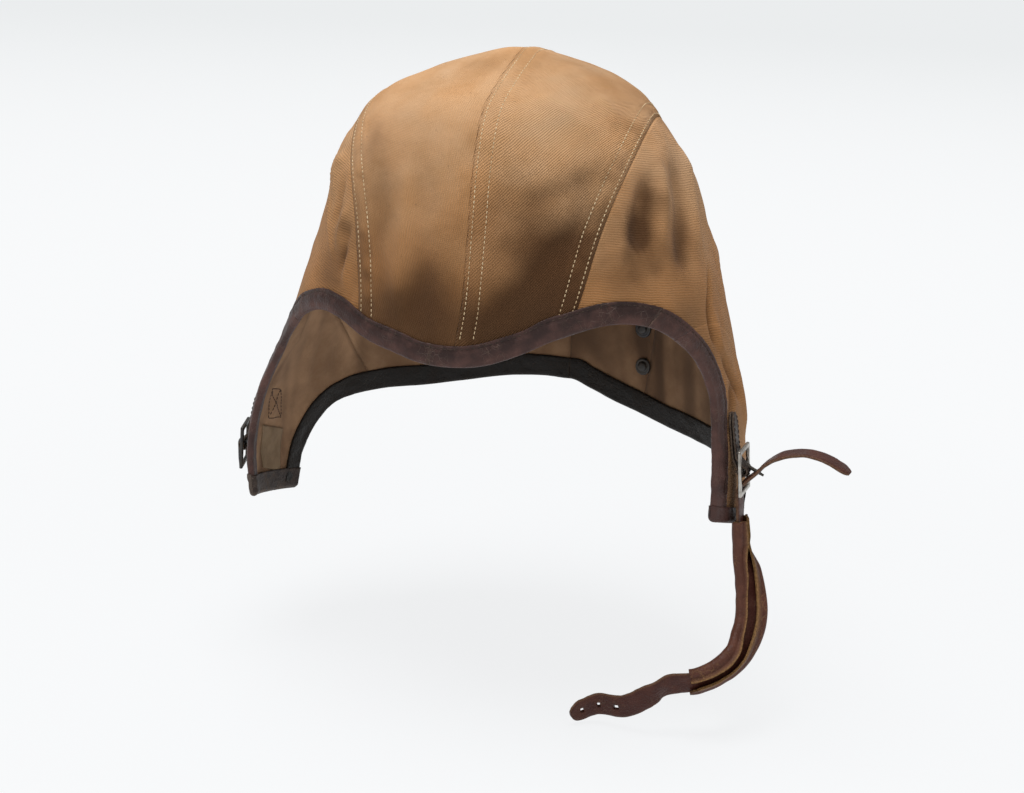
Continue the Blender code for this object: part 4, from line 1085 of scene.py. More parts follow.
def binding(names, stretches, edge, width, finish, seed, rubbed=0.0):
    """Leather folded over a cut edge, through stretches of (side, first, last) places.

    Two names give two pieces, parted where the cloth is. Each comes with its line of stitching.
    """
    away, angle = section_steps(width, 0.8 * width)
    sheets, measures = [[], []], [[], []]
    reached = 0.0
    for index, (side, first, last) in enumerate(stretches):
        line = surface(side, np.linspace(first, last, 60), float(edge))[0]
        length = np.linalg.norm(np.diff(line, axis=0), axis=-1).sum()
        steps = round(length / BINDING_STEP)
        place = np.linspace(first, last, steps + 1)[bool(index):, None]
        run = reached + np.linspace(0, length, steps + 1)[bool(index):, None]
        reached += length
        measures[0].append(run + 0 * away)
        measures[1].append(np.cumsum(np.abs(np.diff(away, prepend=away[0])))[None] + 0 * run)
        uneven = 1 + 0.05 * soft_noise(run, 0 * run, 0.012, seed)
        for face, thick in enumerate((BINDING, 0.0)):
            radius = LAYERS / 2 + BINDING_GAP + thick
            reach = away * uneven - radius * np.sin(angle)
            share = inset(side, place, edge, reach)
            height = wrapped(side, place, share, away, angle, thick)
            if face == 0:
                around = away + 0.4 * radius * angle
                folded = 0.00022 * soft_noise(run, around, 0.0042, seed + 1)
                folded = folded + 0.00012 * soft_noise(run, 2 * around, 0.0016, seed + 2)
                sewn = -0.0004 * bump(away - (width - LEATHER_SEWN), 0.0006)
                lip = 0.00022 * bump(away - (width - 0.0005), 0.0006)
                plump = 0.0004 * np.sin(math.pi * np.clip(away / width, 0, 1)) ** 2
                outward = np.where(angle < math.pi / 2, 1, -1)
                height = height + outward * (folded + sewn + lip + plump)
            point, square = surface(side, place + 0 * share, share)
            sheets[face].append(point + square * height[..., None])
    outer, inner = (np.concatenate(parts) for parts in sheets)
    run, around = (np.concatenate(parts) for parts in measures)
    wear = 0.75 * bump(away, 0.0024) * (angle < 2.4) + 0 * run
    wear = wear * (0.6 + 0.5 * soft_noise(run, around, 0.008, seed + 3))
    ends = bump(run, 0.0007) + bump(run[-1:] - run, 0.0007)
    masks = {"wear": np.clip(wear + rubbed, 0, 1), "raw": 0.5 * ends}
    sewn_at = int(np.argmin(abs(away[:12] - (width - LEATHER_SEWN))))
    line = outer[:, sewn_at]
    across = outer[:, sewn_at + 1] - outer[:, sewn_at - 1]
    square = unit(np.cross(across, np.gradient(line, axis=0)))
    side, first, last = stretches[0]
    if (square[0] * surface(side, first, float(edge))[1]).sum() < 0:
        square = -square
    row = round((CUT_PLACE - first) / (last - first) * (len(outer) - 1))
    parts = (slice(None, row + 1), slice(row, None)) if len(names) > 1 else (slice(None),)
    made = []
    for name, rows in zip(names, parts):
        piece = grid_mesh(
            name, outer[rows], inner[rows], (run[rows], around[rows]),
            {mask: values[rows] for mask, values in masks.items()},
        )
        piece.data.materials.append(finish)
        made.append((piece, (line[rows], square[rows])))
    return made


def stitched(name, run):
    """A binding's row of dark stitches."""
    stitches = thread(name, [run], DARK_THREAD, **BINDING_STITCH)
    return stitches


PURPLE_LEATHER = worn_leather(
    "purple_brown_leather", (0.034, 0.018, 0.016), (0.12, 0.06, 0.05), (0.19, 0.13, 0.1),
    roughness=0.5, cracked=0.35, scuffed=0.4,
)
(brow, run), = binding(
    ("brow_binding",), ((-1, RIGHT_JOIN, CENTRE), (1, CENTRE, LEFT_JOIN)), 0, FRONT_WIDTH,
    PURPLE_LEATHER, 51,
)
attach(brow, "shell")
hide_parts("brow_trim")
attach(stitched("brow_stitches", run), "shell")
for side, label, join in ((1, "left", LEFT_JOIN), (-1, "right", RIGHT_JOIN)):
    parts = binding(
        (f"temple_binding_{label}", f"front_binding_{label}"), ((side, join, TIP - 0.1),), 0,
        FRONT_WIDTH, PURPLE_LEATHER, 57 + side, 0.3 if side > 0 else 0.1,
    )
    for folding, (front, run) in enumerate(parts):
        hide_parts(f"temple_trim_{label}", *[f"flap_front_trim_{label}"] * folding)
        moves_with(front, folding)
        name = ("temple", "front")[folding]
        stitches = stitched(f"{name}_stitches_{label}", run)
        moves_with(stitches, folding)


# Right flap's inside
# A small patch of paler cotton is sewn inside the right flap's tip, and a crossed box of dark
# stitches beside it holds the buckle's chape.
box_corners = ((8.6, 0.25), (8.5, 0.46), (9.15, 0.595), (9.3, 0.335))
patch_corners = ((9.5, 0.22), (9.4, 0.68), (10.6, 0.72), (10.5, 0.36))
PATCH, PATCH_GAP = 0.0005, 0.0001
BOX_STITCH = {"pitch": 0.0022, "length": 0.0018, "radius": 0.00024}


def inside_right(place, share, height=0.0):
    """Points on the inner face of the right lining, and the directions that face the head."""
    point, square = surface(-1, place, share)
    sunk = lining_cloths["side", -1].relief(place, share) + LINING_DEPTH - LINING - height
    return point + square * sunk[..., None], -square


def inside_run(start, end):
    """A straight run of stitching between two places on the inner face."""
    share = np.linspace(0, 1, 30)[:, None]
    stops = np.array(start) * (1 - share) + np.array(end) * share
    return inside_right(stops[:, 0], stops[:, 1], PATCH_GAP)


box_lines = [(0, 1), (1, 2), (2, 3), (3, 0), (0, 2), (1, 3)]
box = thread(
    "box_stitches_right", [inside_run(box_corners[i], box_corners[j]) for i, j in box_lines],
    DARK_THREAD, **BOX_STITCH,
)
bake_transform(box)
across, down = np.meshgrid(np.linspace(0, 1, 24), np.linspace(0, 1, 24))
corners = np.array(patch_corners)
patch_stops = (
    corners[0] * ((1 - across) * (1 - down))[..., None] + corners[1] * (across * (1 - down))[..., None]
    + corners[2] * (across * down)[..., None] + corners[3] * ((1 - across) * down)[..., None]
)
patch = grid_mesh(
    "flap_patch_right", inside_right(patch_stops[..., 0], patch_stops[..., 1], PATCH_GAP)[0],
    inside_right(patch_stops[..., 0], patch_stops[..., 1], PATCH_GAP + PATCH)[0],
)
patch.data.materials.append(COTTON_TAPE)
patch_size = tuple(
    float(lengths_along(inside_right(edge[:, 0], edge[:, 1])[0])[-1])
    for edge in (patch_stops[0], patch_stops[:, 0])
)
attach(patch, "ear_flap_right")


# Nape band
# A wider band of near-black leather is folded over the nape's edge and on down the back of each
# ear flap, joined at the middle of the nape.
BLACK_LEATHER = worn_leather(
    "near_black_leather", (0.011, 0.0085, 0.0068), (0.028, 0.021, 0.016), (0.08, 0.06, 0.045),
    roughness=0.5, cracked=0.2, scuffed=0.35,
)
for side, label in SIDES:
    (nape, run), = binding(
        (f"nape_binding_{label}",), ((side, CENTRE, TIP - 0.1),), 1, NAPE_WIDTH,
        BLACK_LEATHER, 64 + side,
    )
    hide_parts("nape_band", f"flap_back_trim_{label}")
    moves_with(nape, True)
    stitches = stitched(f"nape_stitches_{label}", run)
    moves_with(stitches, True)


# Flap tips
# A short length of leather closes the bottom of each flap over the ends of the other bindings. It
# has worn grey and wrinkled into ribs.
TIP_OVER = 0.0005


def tip_binding(name, side, tall, finish, seed):
    """A pocket of leather over the bottom edge of an ear flap, rounded shut at both ends."""
    away, angle = section_steps(tall, 0.9 * tall)
    line = surface(side, np.full(40, float(TIP)), np.linspace(0, 1, 40))[0]
    length = np.linalg.norm(np.diff(line, axis=0), axis=-1).sum()
    overrun = LAYERS / 2 + TIP_OVER + BINDING_GAP + BINDING
    beyond = overrun * np.sin(np.linspace(0, math.pi / 2, 8)[1:] * 0.995)
    steps = np.linspace(0, 1, round(length / BINDING_STEP))
    share = np.concatenate([-beyond[::-1] / length, steps, 1 + beyond / length])[:, None]
    out = np.maximum(-share, share - 1).clip(0) * length
    drop = 0.5
    bottom, higher = (surface(side, TIP - up + 0 * share, share)[0] for up in (0, drop))
    down = np.linalg.norm(bottom - higher, axis=-1) / drop
    run, sheets = share * length, []
    for face, thick in enumerate((BINDING, 0.0)):
        radius = LAYERS / 2 + TIP_OVER + BINDING_GAP + thick
        shut = np.sqrt(np.clip(1 - (out / radius) ** 2, 0.0016 if face else 0.01, 1))
        reach = away - radius * np.sin(angle) * shut
        place = TIP - reach / down
        height = wrapped(side, place, share, away, angle, thick, TIP_OVER)
        if face == 0:
            around = away + radius * angle
            ribs = 0.00025 * soft_noise(0.25 * run, around, 0.0024, seed)
            ribs = ribs + 0.00014 * soft_noise(run, around, 0.0016, seed + 1)
            height = height + np.where(angle < math.pi / 2, 1, -1) * ribs
        height = -LAYERS / 2 + (height + LAYERS / 2) * shut
        point, square = surface(side, place, share + 0 * place)
        sheets.append(point + square * height[..., None])
    wear = 0.9 * (0.55 + 0.45 * soft_noise(run, away, 0.006, seed + 2)) * (angle < 2.8)
    masks = {"wear": np.clip(wear, 0, 1), "raw": 0 * wear}
    made = grid_mesh(name, sheets[0], sheets[1], (run + 0 * away, away + 0 * run), masks)
    made.data.materials.append(finish)
    return made


TIP_LEATHER = worn_leather(
    "grey_tip_leather", (0.04, 0.028, 0.024), (0.13, 0.098, 0.078), (0.24, 0.18, 0.14),
    roughness=0.6, cracked=0.3, scuffed=0.6,
)
for side, label in SIDES:
    tall, finish = (0.006, PURPLE_LEATHER) if side > 0 else (TIP_WIDTH, TIP_LEATHER)
    tip = tip_binding(f"tip_binding_{label}", side, tall, finish, 71 + side)
    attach(tip, f"ear_flap_{label}")
    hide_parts(f"flap_tip_trim_{label}")


# Buckle chapes
# A leather tab is folded round each buckle's centre bar, and both of its layers are sewn to the
# ear flap above. Its end is cut to a blunt point and its raw edges have gone grey.
FRAME_HIGH, FRAME_WIDE, FRAME_THICK, FRAME_RAIL, FRAME_BAR = 0.023, 0.020, 0.0018, 0.0024, 0.0022
CHAPE, CHAPE_WIDTH, CHAPE_LENGTH, CHAPE_SLOT = 0.0012, 0.009, 0.028, 0.0017
CHAPE_STITCH = {"pitch": 0.0026, "length": 0.0019, "radius": 0.00022}
TRIM_CLEAR, LAYER_CLEAR = 0.0003, 0.0003
BAR_RADIUS = math.hypot(FRAME_BAR, FRAME_THICK) / 2 + 0.00035
BUCKLE_TURN = math.radians(8)


class BuckleSeat:
    """One buckle's place: the middle of its bar, and the ways up, out and to the nape."""

    def __init__(self, side, degrees, share, height):
        angle = side * math.radians(degrees)
        self.side, self.height = side, height
        self.pattern = np.array((math.sin(angle), -math.cos(angle))) * share
        self.reach = share
        self.foot, self.flat_out = on_shell(*self.pattern)
        self.bar = self.foot + self.flat_out * height
        self.up = unit(np.array((0, 0, 1.0)) - self.flat_out * self.flat_out[2])
        self.flat_rear = np.cross(self.up, self.flat_out) * side
        turn = side * BUCKLE_TURN
        self.out = self.flat_out * math.cos(turn) + self.flat_rear * math.sin(turn)
        self.rear = np.cross(self.up, self.out) * side

    def at(self, rear, up, out):
        """A place by distances back, up and out, turned with the buckle."""
        return self.bar + self.rear * rear + self.up * up + self.out * (out - self.height)

    def flat_at(self, rear, up, out):
        """A place by distances back, up and out, square to the flap."""
        return self.foot + self.flat_rear * rear + self.up * up + self.flat_out * out

    def on_flap(self, rear, up, height):
        """A place at a height above the drill, where it curves away above the buckle."""
        above = on_shell(*self.pattern * 0.99)[0]
        slope = np.linalg.norm(self.foot - above) / self.reach / 0.01
        point, square = on_shell(*self.pattern * (1 - up / self.reach / slope))
        return point + square * height + self.flat_rear * rear


def smooth_path(points, steps):
    """Points along a smooth curve through the given ones."""
    points = np.array(points, float)
    before = np.concatenate([[2 * points[0] - points[1]], points[:-2]])
    after = np.concatenate([points[2:], [2 * points[-1] - points[-2]]])
    path = []
    for start, end, earlier, later in zip(points[:-1], points[1:], before, after):
        t = (np.arange(steps) / steps)[:, None]
        path.append(0.5 * (
            2 * start + (end - earlier) * t + (2 * earlier - 5 * start + 4 * end - later) * t**2
            + (3 * start - earlier - 3 * end + later) * t**3
        ))
    return np.concatenate([*path, points[-1:]])


def band_mesh(name, path, width_way, half_width, thickness, finish, kept, lumps=None):
    """A leather band along a path, with rounded edges, its width at each step as given."""
    columns = np.linspace(-1, 1, 15)
    columns = np.sign(columns) * abs(columns) ** 0.8
    ahead = np.gradient(path, axis=0)
    face = unit(np.cross(width_way, ahead))
    across = unit(np.cross(ahead, face))
    wide = half_width[:, None] * columns
    lift = 0 * wide if lumps is None else lumps(lengths_along(path)[:, None], wide)
    middle = path[:, None] + across[:, None] * wide[..., None] + face[:, None] * lift[..., None]
    thick = thickness / 2 * (1 - 0.6 * abs(columns) ** 8)[None, :, None] * face[:, None]
    run = lengths_along(path)[:, None] + 0 * wide
    edge = rise(abs(columns), 0.86, 1.0)[None] + 0 * wide
    masks = {"wear": 0.5 * edge, "raw": 0.8 * edge}
    made = grid_mesh(name, middle + thick, middle - thick, (run, wide), masks, kept(run, wide))
    made.data.materials.append(finish)
    return made, middle, face


def chape_mesh(seat, name, finish):
    """A tab up the flap, round the bar and back over itself, and its two runs of stitching."""
    under = TRIM_CLEAR + CHAPE / 2
    over = under + CHAPE + LAYER_CLEAR
    radius = BAR_RADIUS + CHAPE / 2
    start = 4 * radius
    follow = start + (CHAPE_LENGTH - start) * np.arange(1, 6) / 5
    loop = np.radians(-75 - 15 * np.arange(19))
    stops = [
        *[(seat.on_flap, up, under) for up in follow[::-1]],
        (seat.flat_at, 3 * radius, under), (seat.flat_at, 2 * radius, under + CHAPE / 2),
        *[(seat.at, radius * math.cos(a), seat.height + radius * math.sin(a)) for a in loop],
        (seat.flat_at, 5 * radius / 2, over + CHAPE / 2), (seat.flat_at, start, over),
        *[(seat.on_flap, up, over) for up in follow],
    ]
    path = smooth_path([reach(0, up, height) for reach, up, height in stops], 5)
    run = lengths_along(path)
    from_end = np.minimum(run, run[-1] - run)
    half = CHAPE_WIDTH / 2 * (0.3 + 0.7 * rise(from_end, -0.002, 0.0055))
    half = half * (1 + 0.03 * soft_noise(run, 0 * run, 0.004, 81 + seat.side))
    near_bar = abs(run - run[-1] / 2) < 1.6 * radius

    def slotted(_, wide):
        """False where the slot for the tongue is cut."""
        return ~((abs(wide[:-1, :-1] + wide[:-1, 1:]) / 2 < CHAPE_SLOT) & near_bar[:-1, None])

    width_way = np.tile(seat.rear, (len(path), 1))
    made, middle, face = band_mesh(name, path, width_way, half, CHAPE, finish, slotted)
    rows = np.arange(3, 34)
    if (seat.flat_out * (middle[-8, 7] - middle[7, 7])).sum() > 0:
        rows = len(path) - rows
    runs = []
    for column in (2, 12):
        lift = face[rows] * np.sign((face[rows] * seat.flat_out).sum(-1))[:, None]
        runs.append((middle[rows, column] + lift * CHAPE / 2, lift))
    return made, runs


SEATS = {1: BuckleSeat(1, 81.4, 0.877, 0.0056), -1: BuckleSeat(-1, 81, 0.900, 0.0051)}
CHAPE_LEATHER = worn_leather(
    "chape_leather", (0.03, 0.019, 0.016), (0.09, 0.062, 0.048), (0.15, 0.11, 0.082),
    roughness=0.5, cracked=0.3, scuffed=0.5,
)
for side, label in SIDES:
    chape, runs = chape_mesh(SEATS[side], f"chape_leather_{label}", CHAPE_LEATHER)
    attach(chape, f"ear_flap_{label}")
    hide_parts(f"chape_{label}")
    stitches = thread(f"chape_stitches_{label}", runs, DARK_THREAD, **CHAPE_STITCH)
    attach(stitches, f"ear_flap_{label}")


# Buckles
# The left buckle is a cast frame in dulled nickel and the right one is blackened steel. Each
# turns on its centre bar, and its wire tongue hooks round the bar.
WIRE, PRONG, LEFT_PRONG = 0.0018, 0.013, 0.0095
EYE_STEPS = 21
CAST_VOXEL, CAST_PASSES = 0.00028, 5


def softened(node, name, finish):
    """A part's own shape with its corners rounded as if cast and worn."""
    part = new_object(name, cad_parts[node].data.copy())
    remesh = part.modifiers.new("remesh", "REMESH")
    remesh.mode, remesh.voxel_size = "VOXEL", CAST_VOXEL
    smooth = part.modifiers.new("smooth", "SMOOTH")
    smooth.factor, smooth.iterations = 0.5, CAST_PASSES
    graph = bpy.context.evaluated_depsgraph_get()
    mesh = bpy.data.meshes.new_from_object(part.evaluated_get(graph))
    part.modifiers.clear()
    part.data = mesh
    mesh.materials.clear()
    mesh.materials.append(finish)
    mesh.polygons.foreach_set("use_smooth", np.ones(len(mesh.polygons), bool))
    mesh.update()
    return part


def old_metal(name, bright, dull, roughness, metallic):
    """Plated or blackened metal, with dull patches and small pits."""
    made, tree, shader = new_material(name, roughness, Metallic=metallic)
    place = object_place(tree)
    patches = fitted(tree, MOTTLE, Place=place, Patch=0.006)
    colour = mixed(tree, patches.outputs["Patches"], bright, dull)
    tree.links.new(colour, shader.inputs["Base Color"])
    rough = math_node(tree, "MULTIPLY_ADD", patches.outputs["Patches"], 0.22, roughness)
    tree.links.new(rough, shader.inputs["Roughness"])
    pits = noise_node(tree, place, 1400, 3)
    tree.links.new(bumped(tree, pits, 0.25, 0.0001), shader.inputs["Normal"])
    return made


def tube(name, path, radii, finish, sides=14):
    """A round bar along a path, closed at its ends."""
    ahead = unit(np.gradient(path, axis=0))
    flat = unit(np.cross(path[0] - path[len(path) // 2], path[-1] - path[len(path) // 2]))
    other = np.cross(ahead, flat)
    turn = np.arange(sides) / sides * 2 * math.pi
    circle = flat * np.cos(turn)[:, None, None] + other[None] * np.sin(turn)[:, None, None]
    points = (path + circle * radii[:, None]).transpose(1, 0, 2)
    made = solid_mesh(name, points.reshape(-1, 3), ring_faces(len(path), sides))
    made.data.materials.append(finish)
    return made


def prong_way(turn):
    """The way that a tongue's prong points, up and out from the bar."""
    return np.array((-math.cos(turn), math.sin(turn)))


def tongue_path(turn, length):
    """A tongue's wire, up and out from the bar: an open eye, then the prong."""
    radius = BAR_RADIUS + WIRE / 2
    ahead = prong_way(turn)
    foot_angle = math.atan2(-ahead[0], ahead[1])
    angles = foot_angle - np.radians(270 - 13.5 * np.arange(EYE_STEPS))
    eye = np.stack([np.cos(angles), np.sin(angles)], -1) * radius
    prong = eye[-1] + ahead * np.linspace(0, length, 14)[1:, None]
    return np.concatenate([eye, prong])


NICKEL = old_metal("dulled_nickel", (0.56, 0.54, 0.5), (0.3, 0.28, 0.25), 0.3, 1.0)
BLACK_STEEL = old_metal("blackened_steel", (0.035, 0.035, 0.038), (0.075, 0.065, 0.055), 0.38, 0.6)
TARNISHED_WIRE = old_metal("tarnished_wire", (0.16, 0.15, 0.135), (0.07, 0.06, 0.05), 0.42, 1.0)
tongue_turns = {1: math.radians(60), -1: math.radians(-3)}
for side, label, metal, slot in (
    (1, "left", NICKEL, "white_metal"), (-1, "right", BLACK_STEEL, "blacked_steel"),
):
    seat = SEATS[side]
    plate = softened(f"buckle_frame_{label}", f"buckle_casting_{label}", metal)
    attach(plate, f"buckle_{label}")
    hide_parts(f"buckle_frame_{label}")
    path = np.array([
        seat.at(0, up, seat.height + out)
        for up, out in tongue_path(tongue_turns[side], LEFT_PRONG if side > 0 else PRONG)
    ])
    radii = 0.00088 * (1 - 0.35 * rise(np.arange(len(path)), len(path) - 6, len(path) - 1))
    tongue = tube(f"tongue_wire_{label}", path, radii, TARNISHED_WIRE if side > 0 else BLACK_STEEL)
    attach(tongue, f"tongue_{label}")
    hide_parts(f"buckle_tongue_{label}")


# Chin strap
# One length of red-brown leather comes from a curled tail through the left buckle and hangs below
# the flap to a rounded end with punched holes. Its grain has cracked and its edges are raw.
STRAP, STRAP_HALF, STAND_OFF, HANG, TAIL_REACH = 0.0018, 0.0065, 0.0034, 0.120, 0.050
FRAME_BEVEL, BEND_GAP = 0.0004, 0.0009
hang_stops = (
    (0, -0.04, 0, (-1, 0, 0)), (-0.01, -0.087, 0.02, (-0.95, 0, -0.25)),
    (-0.035, -0.149, 0.05, (-0.8, 0, -0.55)), (-0.075, -0.236, 0.075, (-0.6, 0, -0.75)),
    (-0.12, -0.308, 0.085, (-0.5, 0.15, -0.8)), (-0.17, -0.378, 0.075, (-0.45, 0.4, -0.7)),
    (-0.225, -0.438, 0.045, (-0.5, 0.65, -0.45)), (-0.275, -0.488, -0.015, (-0.45, 0.85, -0.15)),
    (-0.31, -0.528, -0.095, (-0.4, 0.9, 0.05)), (-0.325, -0.553, -0.195, (-0.3, 0.95, 0.1)),
    (-0.36, -0.588, -0.255, (-0.3, 0.95, 0.05)), (-0.345, -0.663, -0.365, (-0.25, 0.95, 0)),
    (-0.325, -0.678, -0.475, (-0.25, 0.95, 0)), (-0.35, -0.703, -0.54, (-0.25, 0.95, 0)),
    (-0.385, -0.718, -0.58, (-0.25, 0.95, 0)),
)
tail_stops = (
    (0.03, 0.185), (0.088, 0.25), (0.168, 0.414), (0.192, 0.62), (0.148, 0.82), (0.084, 0.94),
    (0.02, 1.02),
)
hole_shares = (0.84, 0.9, 0.96)
HOLE_RADIUS, PIERCED_RADIUS = 0.0013, 0.0019


def resampled(path, others, step):
    """A path and what goes with it, at even steps along it."""
    run = lengths_along(path)
    at = np.linspace(0, run[-1], round(run[-1] / step) + 1)
    return [picked(at, run, part) for part in (path, *others)]


left_seat = SEATS[1]
tip_point = surface(1, float(TIP), 0.5)[0]
bend_up = ((tip_point - left_seat.foot) * left_seat.up).sum() - 3 * 0.0008 - BEND_GAP
window = FRAME_HIGH / 2 - FRAME_RAIL
prong_foot = tongue_path(tongue_turns[1], PRONG)[EYE_STEPS - 1]
pierced = prong_foot + prong_way(tongue_turns[1]) * PRONG / 2
start_up = bend_up + BEND_GAP / 2
through = [
    (start_up, STAND_OFF), ((start_up - FRAME_HIGH / 2) / 2, STAND_OFF),
    (-FRAME_HIGH / 2 - FRAME_BEVEL, STAND_OFF), (-window, STAND_OFF + FRAME_BEVEL),
    (-window * 0.66, left_seat.height + FRAME_BEVEL), (pierced[0], left_seat.height + pierced[1]),
    *[(up * TAIL_REACH, left_seat.height + out * TAIL_REACH) for up, out in tail_stops],
]
upper_path = np.array([left_seat.at(0, *stop) for stop in smooth_path(through, 10)])[::-1]
hang_start = left_seat.at(0, bend_up - BEND_GAP / 2, STAND_OFF)
hang_points = [hang_start] + [
    hang_start + np.array((out, back, up)) * HANG for back, up, out, _ in hang_stops
]
hang_widths = [-left_seat.rear] + [
    np.array((wide_out, wide_back, wide_up)) for *_, (wide_back, wide_up, wide_out) in hang_stops
]
lower_path, lower_widths = smooth_path(hang_points, 10), smooth_path(hang_widths, 10)
hang_length = lengths_along(lower_path)[-1]
strap_path, strap_widths = resampled(
    np.concatenate([upper_path, lower_path]),
    [np.concatenate([np.tile(-left_seat.rear, (len(upper_path), 1)), lower_widths])], 0.0009,
)
strap_run = lengths_along(strap_path)
hang_from = strap_run[-1] - hang_length
pierced_at = strap_run[np.argmin(np.linalg.norm(
    strap_path - left_seat.at(0, pierced[0], left_seat.height + pierced[1]), axis=-1,
))]
strap_holes = [(pierced_at, PIERCED_RADIUS)] + [
    (hang_from + share * hang_length, HOLE_RADIUS) for share in hole_shares
]


def strap_half_width():
    """Half the strap's width along it, rounded at both ends and a little uneven."""
    from_ends = np.minimum(strap_run, strap_run[-1] - strap_run)
    inset_share = np.clip(1 - from_ends / STRAP_HALF, 0, 1)
    half = STRAP_HALF * np.sqrt(1 - inset_share**2 * 0.95)
    edge = 0.04 * soft_noise(strap_run, 0 * strap_run, 0.007, 91)
    edge = edge + 0.02 * soft_noise(strap_run, 0 * strap_run, 0.0018, 92)
    return half * (1 - 0.02 + edge)


def strap_lumps(run, wide):
    """Warps of the strap out of its flat, with its edges curling."""
    free = rise(run, hang_from + 0.008, hang_from + 0.02) + rise(hang_from - 0.03 - run, 0, 0.01)
    warp = 0.0006 * soft_noise(run, wide, 0.013, 93) + 0.00018 * soft_noise(run, wide, 0.004, 94)
    return free * (warp + 0.0006 * (wide / STRAP_HALF) ** 2 * soft_noise(run, 0 * wide, 0.018, 95))


def strap_kept(run, wide):
    """False where a hole is punched."""
    run = (run[:-1, :-1] + run[1:, 1:]) / 2
    wide = (wide[:-1, :-1] + wide[1:, 1:]) / 2
    kept = np.ones(run.shape, bool)
    for at, radius in strap_holes:
        kept &= np.hypot(run - at, wide) > radius
    return kept


STRAP_LEATHER = worn_leather(
    "strap_leather", (0.056, 0.016, 0.011), (0.1, 0.036, 0.024), (0.19, 0.105, 0.062),
    roughness=0.46, cracked=0.3, scuffed=0.6,
)
strap, strap_middle, strap_face = band_mesh(
    "chin_strap_leather", strap_path, strap_widths, strap_half_width(), STRAP, STRAP_LEATHER,
    strap_kept, strap_lumps,
)
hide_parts("chin_strap_upper", "chin_strap")
bend_point = left_seat.at(0, bend_up, STAND_OFF)
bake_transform(strap)


# Strap sleeve
# A strip of the same leather is folded round the hanging strap's upper half, with its two raw
# edges turned to lips on the outer face. It gapes where it has dried.
SLEEVE, SLEEVE_CLEAR, BROAD_LIP, NARROW_LIP = 0.0012, 0.0005, 0.0066, 0.0034
SLEEVE_END, SLEEVE_ABOVE, SLEEVE_BELOW = 0.58, 0.010, 0.002


def sleeve_mesh(finish):
    """The folded strip round the strap, open along its lips and cut unevenly at its ends."""
    keep = (strap_run > hang_from - SLEEVE_ABOVE) & (
        strap_run < hang_from + SLEEVE_END * hang_length + SLEEVE_BELOW
    )
    middle, face = strap_middle[keep], -strap_face[keep]
    run = strap_run[keep] - strap_run[keep][0]
    across = unit(middle[:, -1] - middle[:, 0])
    centre = middle[:, 7]
    half = STRAP_HALF + SLEEVE_CLEAR + SLEEVE / 2
    off = STRAP / 2 + SLEEVE_CLEAR + SLEEVE / 2
    turn = np.linspace(-math.pi / 2, math.pi / 2, 9)
    flat = half - off
    broad, narrow = (np.linspace(lip - half, -flat, 6)[:-1] for lip in (BROAD_LIP, NARROW_LIP))
    wide = np.concatenate([
        broad, -flat - off * np.cos(turn), np.linspace(-flat, flat, 11)[1:-1],
        flat + off * np.cos(turn), -narrow[::-1],
    ])
    high = np.concatenate([
        -off + 0 * broad, off * np.sin(turn), np.full(9, off), -off * np.sin(turn), -off + 0 * narrow,
    ])
    out_wide = np.concatenate([0 * broad, -np.cos(turn), np.zeros(9), np.cos(turn), 0 * broad])
    out_high = np.concatenate([-1 + 0 * broad, np.sin(turn), np.ones(9), -np.sin(turn), -1 + 0 * broad])
    gape = 0.5 + 0.5 * soft_noise(run, 0 * run, 0.02, 97)[:, None]
    lips = np.concatenate([np.linspace(1, 0, 5), np.zeros(len(wide) - 10), np.linspace(0, 1, 5)])
    other = np.concatenate([np.linspace(1, 0, 5), np.zeros(len(wide) - 5)])
    lift = -0.0030 * lips * gape - 0.0008 * np.sqrt(lips)
    bulge = 0.0005 * soft_noise(run[:, None], 1.0 * np.arange(len(wide)) * 0.001, 0.009, 98)
    wide = wide * (1 + 0.02 * soft_noise(run, 0 * run, 0.01, 99)[:, None])
    sheets = []
    for thick in (SLEEVE / 2, -SLEEVE / 2):
        sideways = wide + out_wide * (thick + np.maximum(bulge, 0))
        upward = high + out_high * (thick + np.maximum(bulge, 0)) + lift
        sheets.append(
            centre[:, None] + across[:, None] * sideways[..., None]
            + face[:, None] * upward[..., None]
        )
    places = np.arange(len(wide[0]))
    cut_back = 0.0035 * (0.5 + 0.5 * soft_noise(places * 0.001, 0 * places, 0.006, 96)) + 0.003 * other
    kept = (run[:-1, None] > 0.0012 * (1 - np.cos(places[:-1] * 0.2))) & (
        run[1:, None] < run[-1] - cut_back[:-1]
    )
    edge = np.maximum(lips ** 2, 0)[None] + 0 * sideways
    raw = np.stack([np.clip(1.1 * edge, 0, 1), np.clip(0.8 + edge, 0, 1)])
    wear = np.stack([0.3 + 0.4 * abs(out_wide) + 0 * sideways, 0.4 + 0 * sideways])
    made = grid_mesh(
        "strap_sleeve_leather", *sheets, (run[:, None] + 0 * wide, wide),
        {"raw": raw, "wear": wear}, kept,
    )
    made.data.materials.append(finish)
    return made


SLEEVE_LEATHER = worn_leather(
    "sleeve_leather", (0.07, 0.024, 0.015), (0.13, 0.05, 0.032), (0.36, 0.2, 0.08),
    roughness=0.48, cracked=0.35, scuffed=0.6,
)
sleeve = sleeve_mesh(SLEEVE_LEATHER)
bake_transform(sleeve)
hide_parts("chin_strap_sleeve")


# Press studs
# Two blackened press studs are set through the lining behind the left ear, each a domed cap in
# a rolled ring.
stud_profile = (
    (0.0, 0.0), (0.94, 0.0), (1.0, 0.12), (0.99, 0.32), (0.9, 0.45), (0.74, 0.43), (0.64, 0.36),
    (0.58, 0.5), (0.54, 0.82), (0.42, 0.96), (0.2, 1.0), (0.02, 1.0),
)
STUD_TALL, STUD_SIDES, STUD_AZIMUTH = 0.0024, 32, math.radians(157)
studs = (("upper", 0.0050, 0.752), ("lower", 0.0047, 0.817))


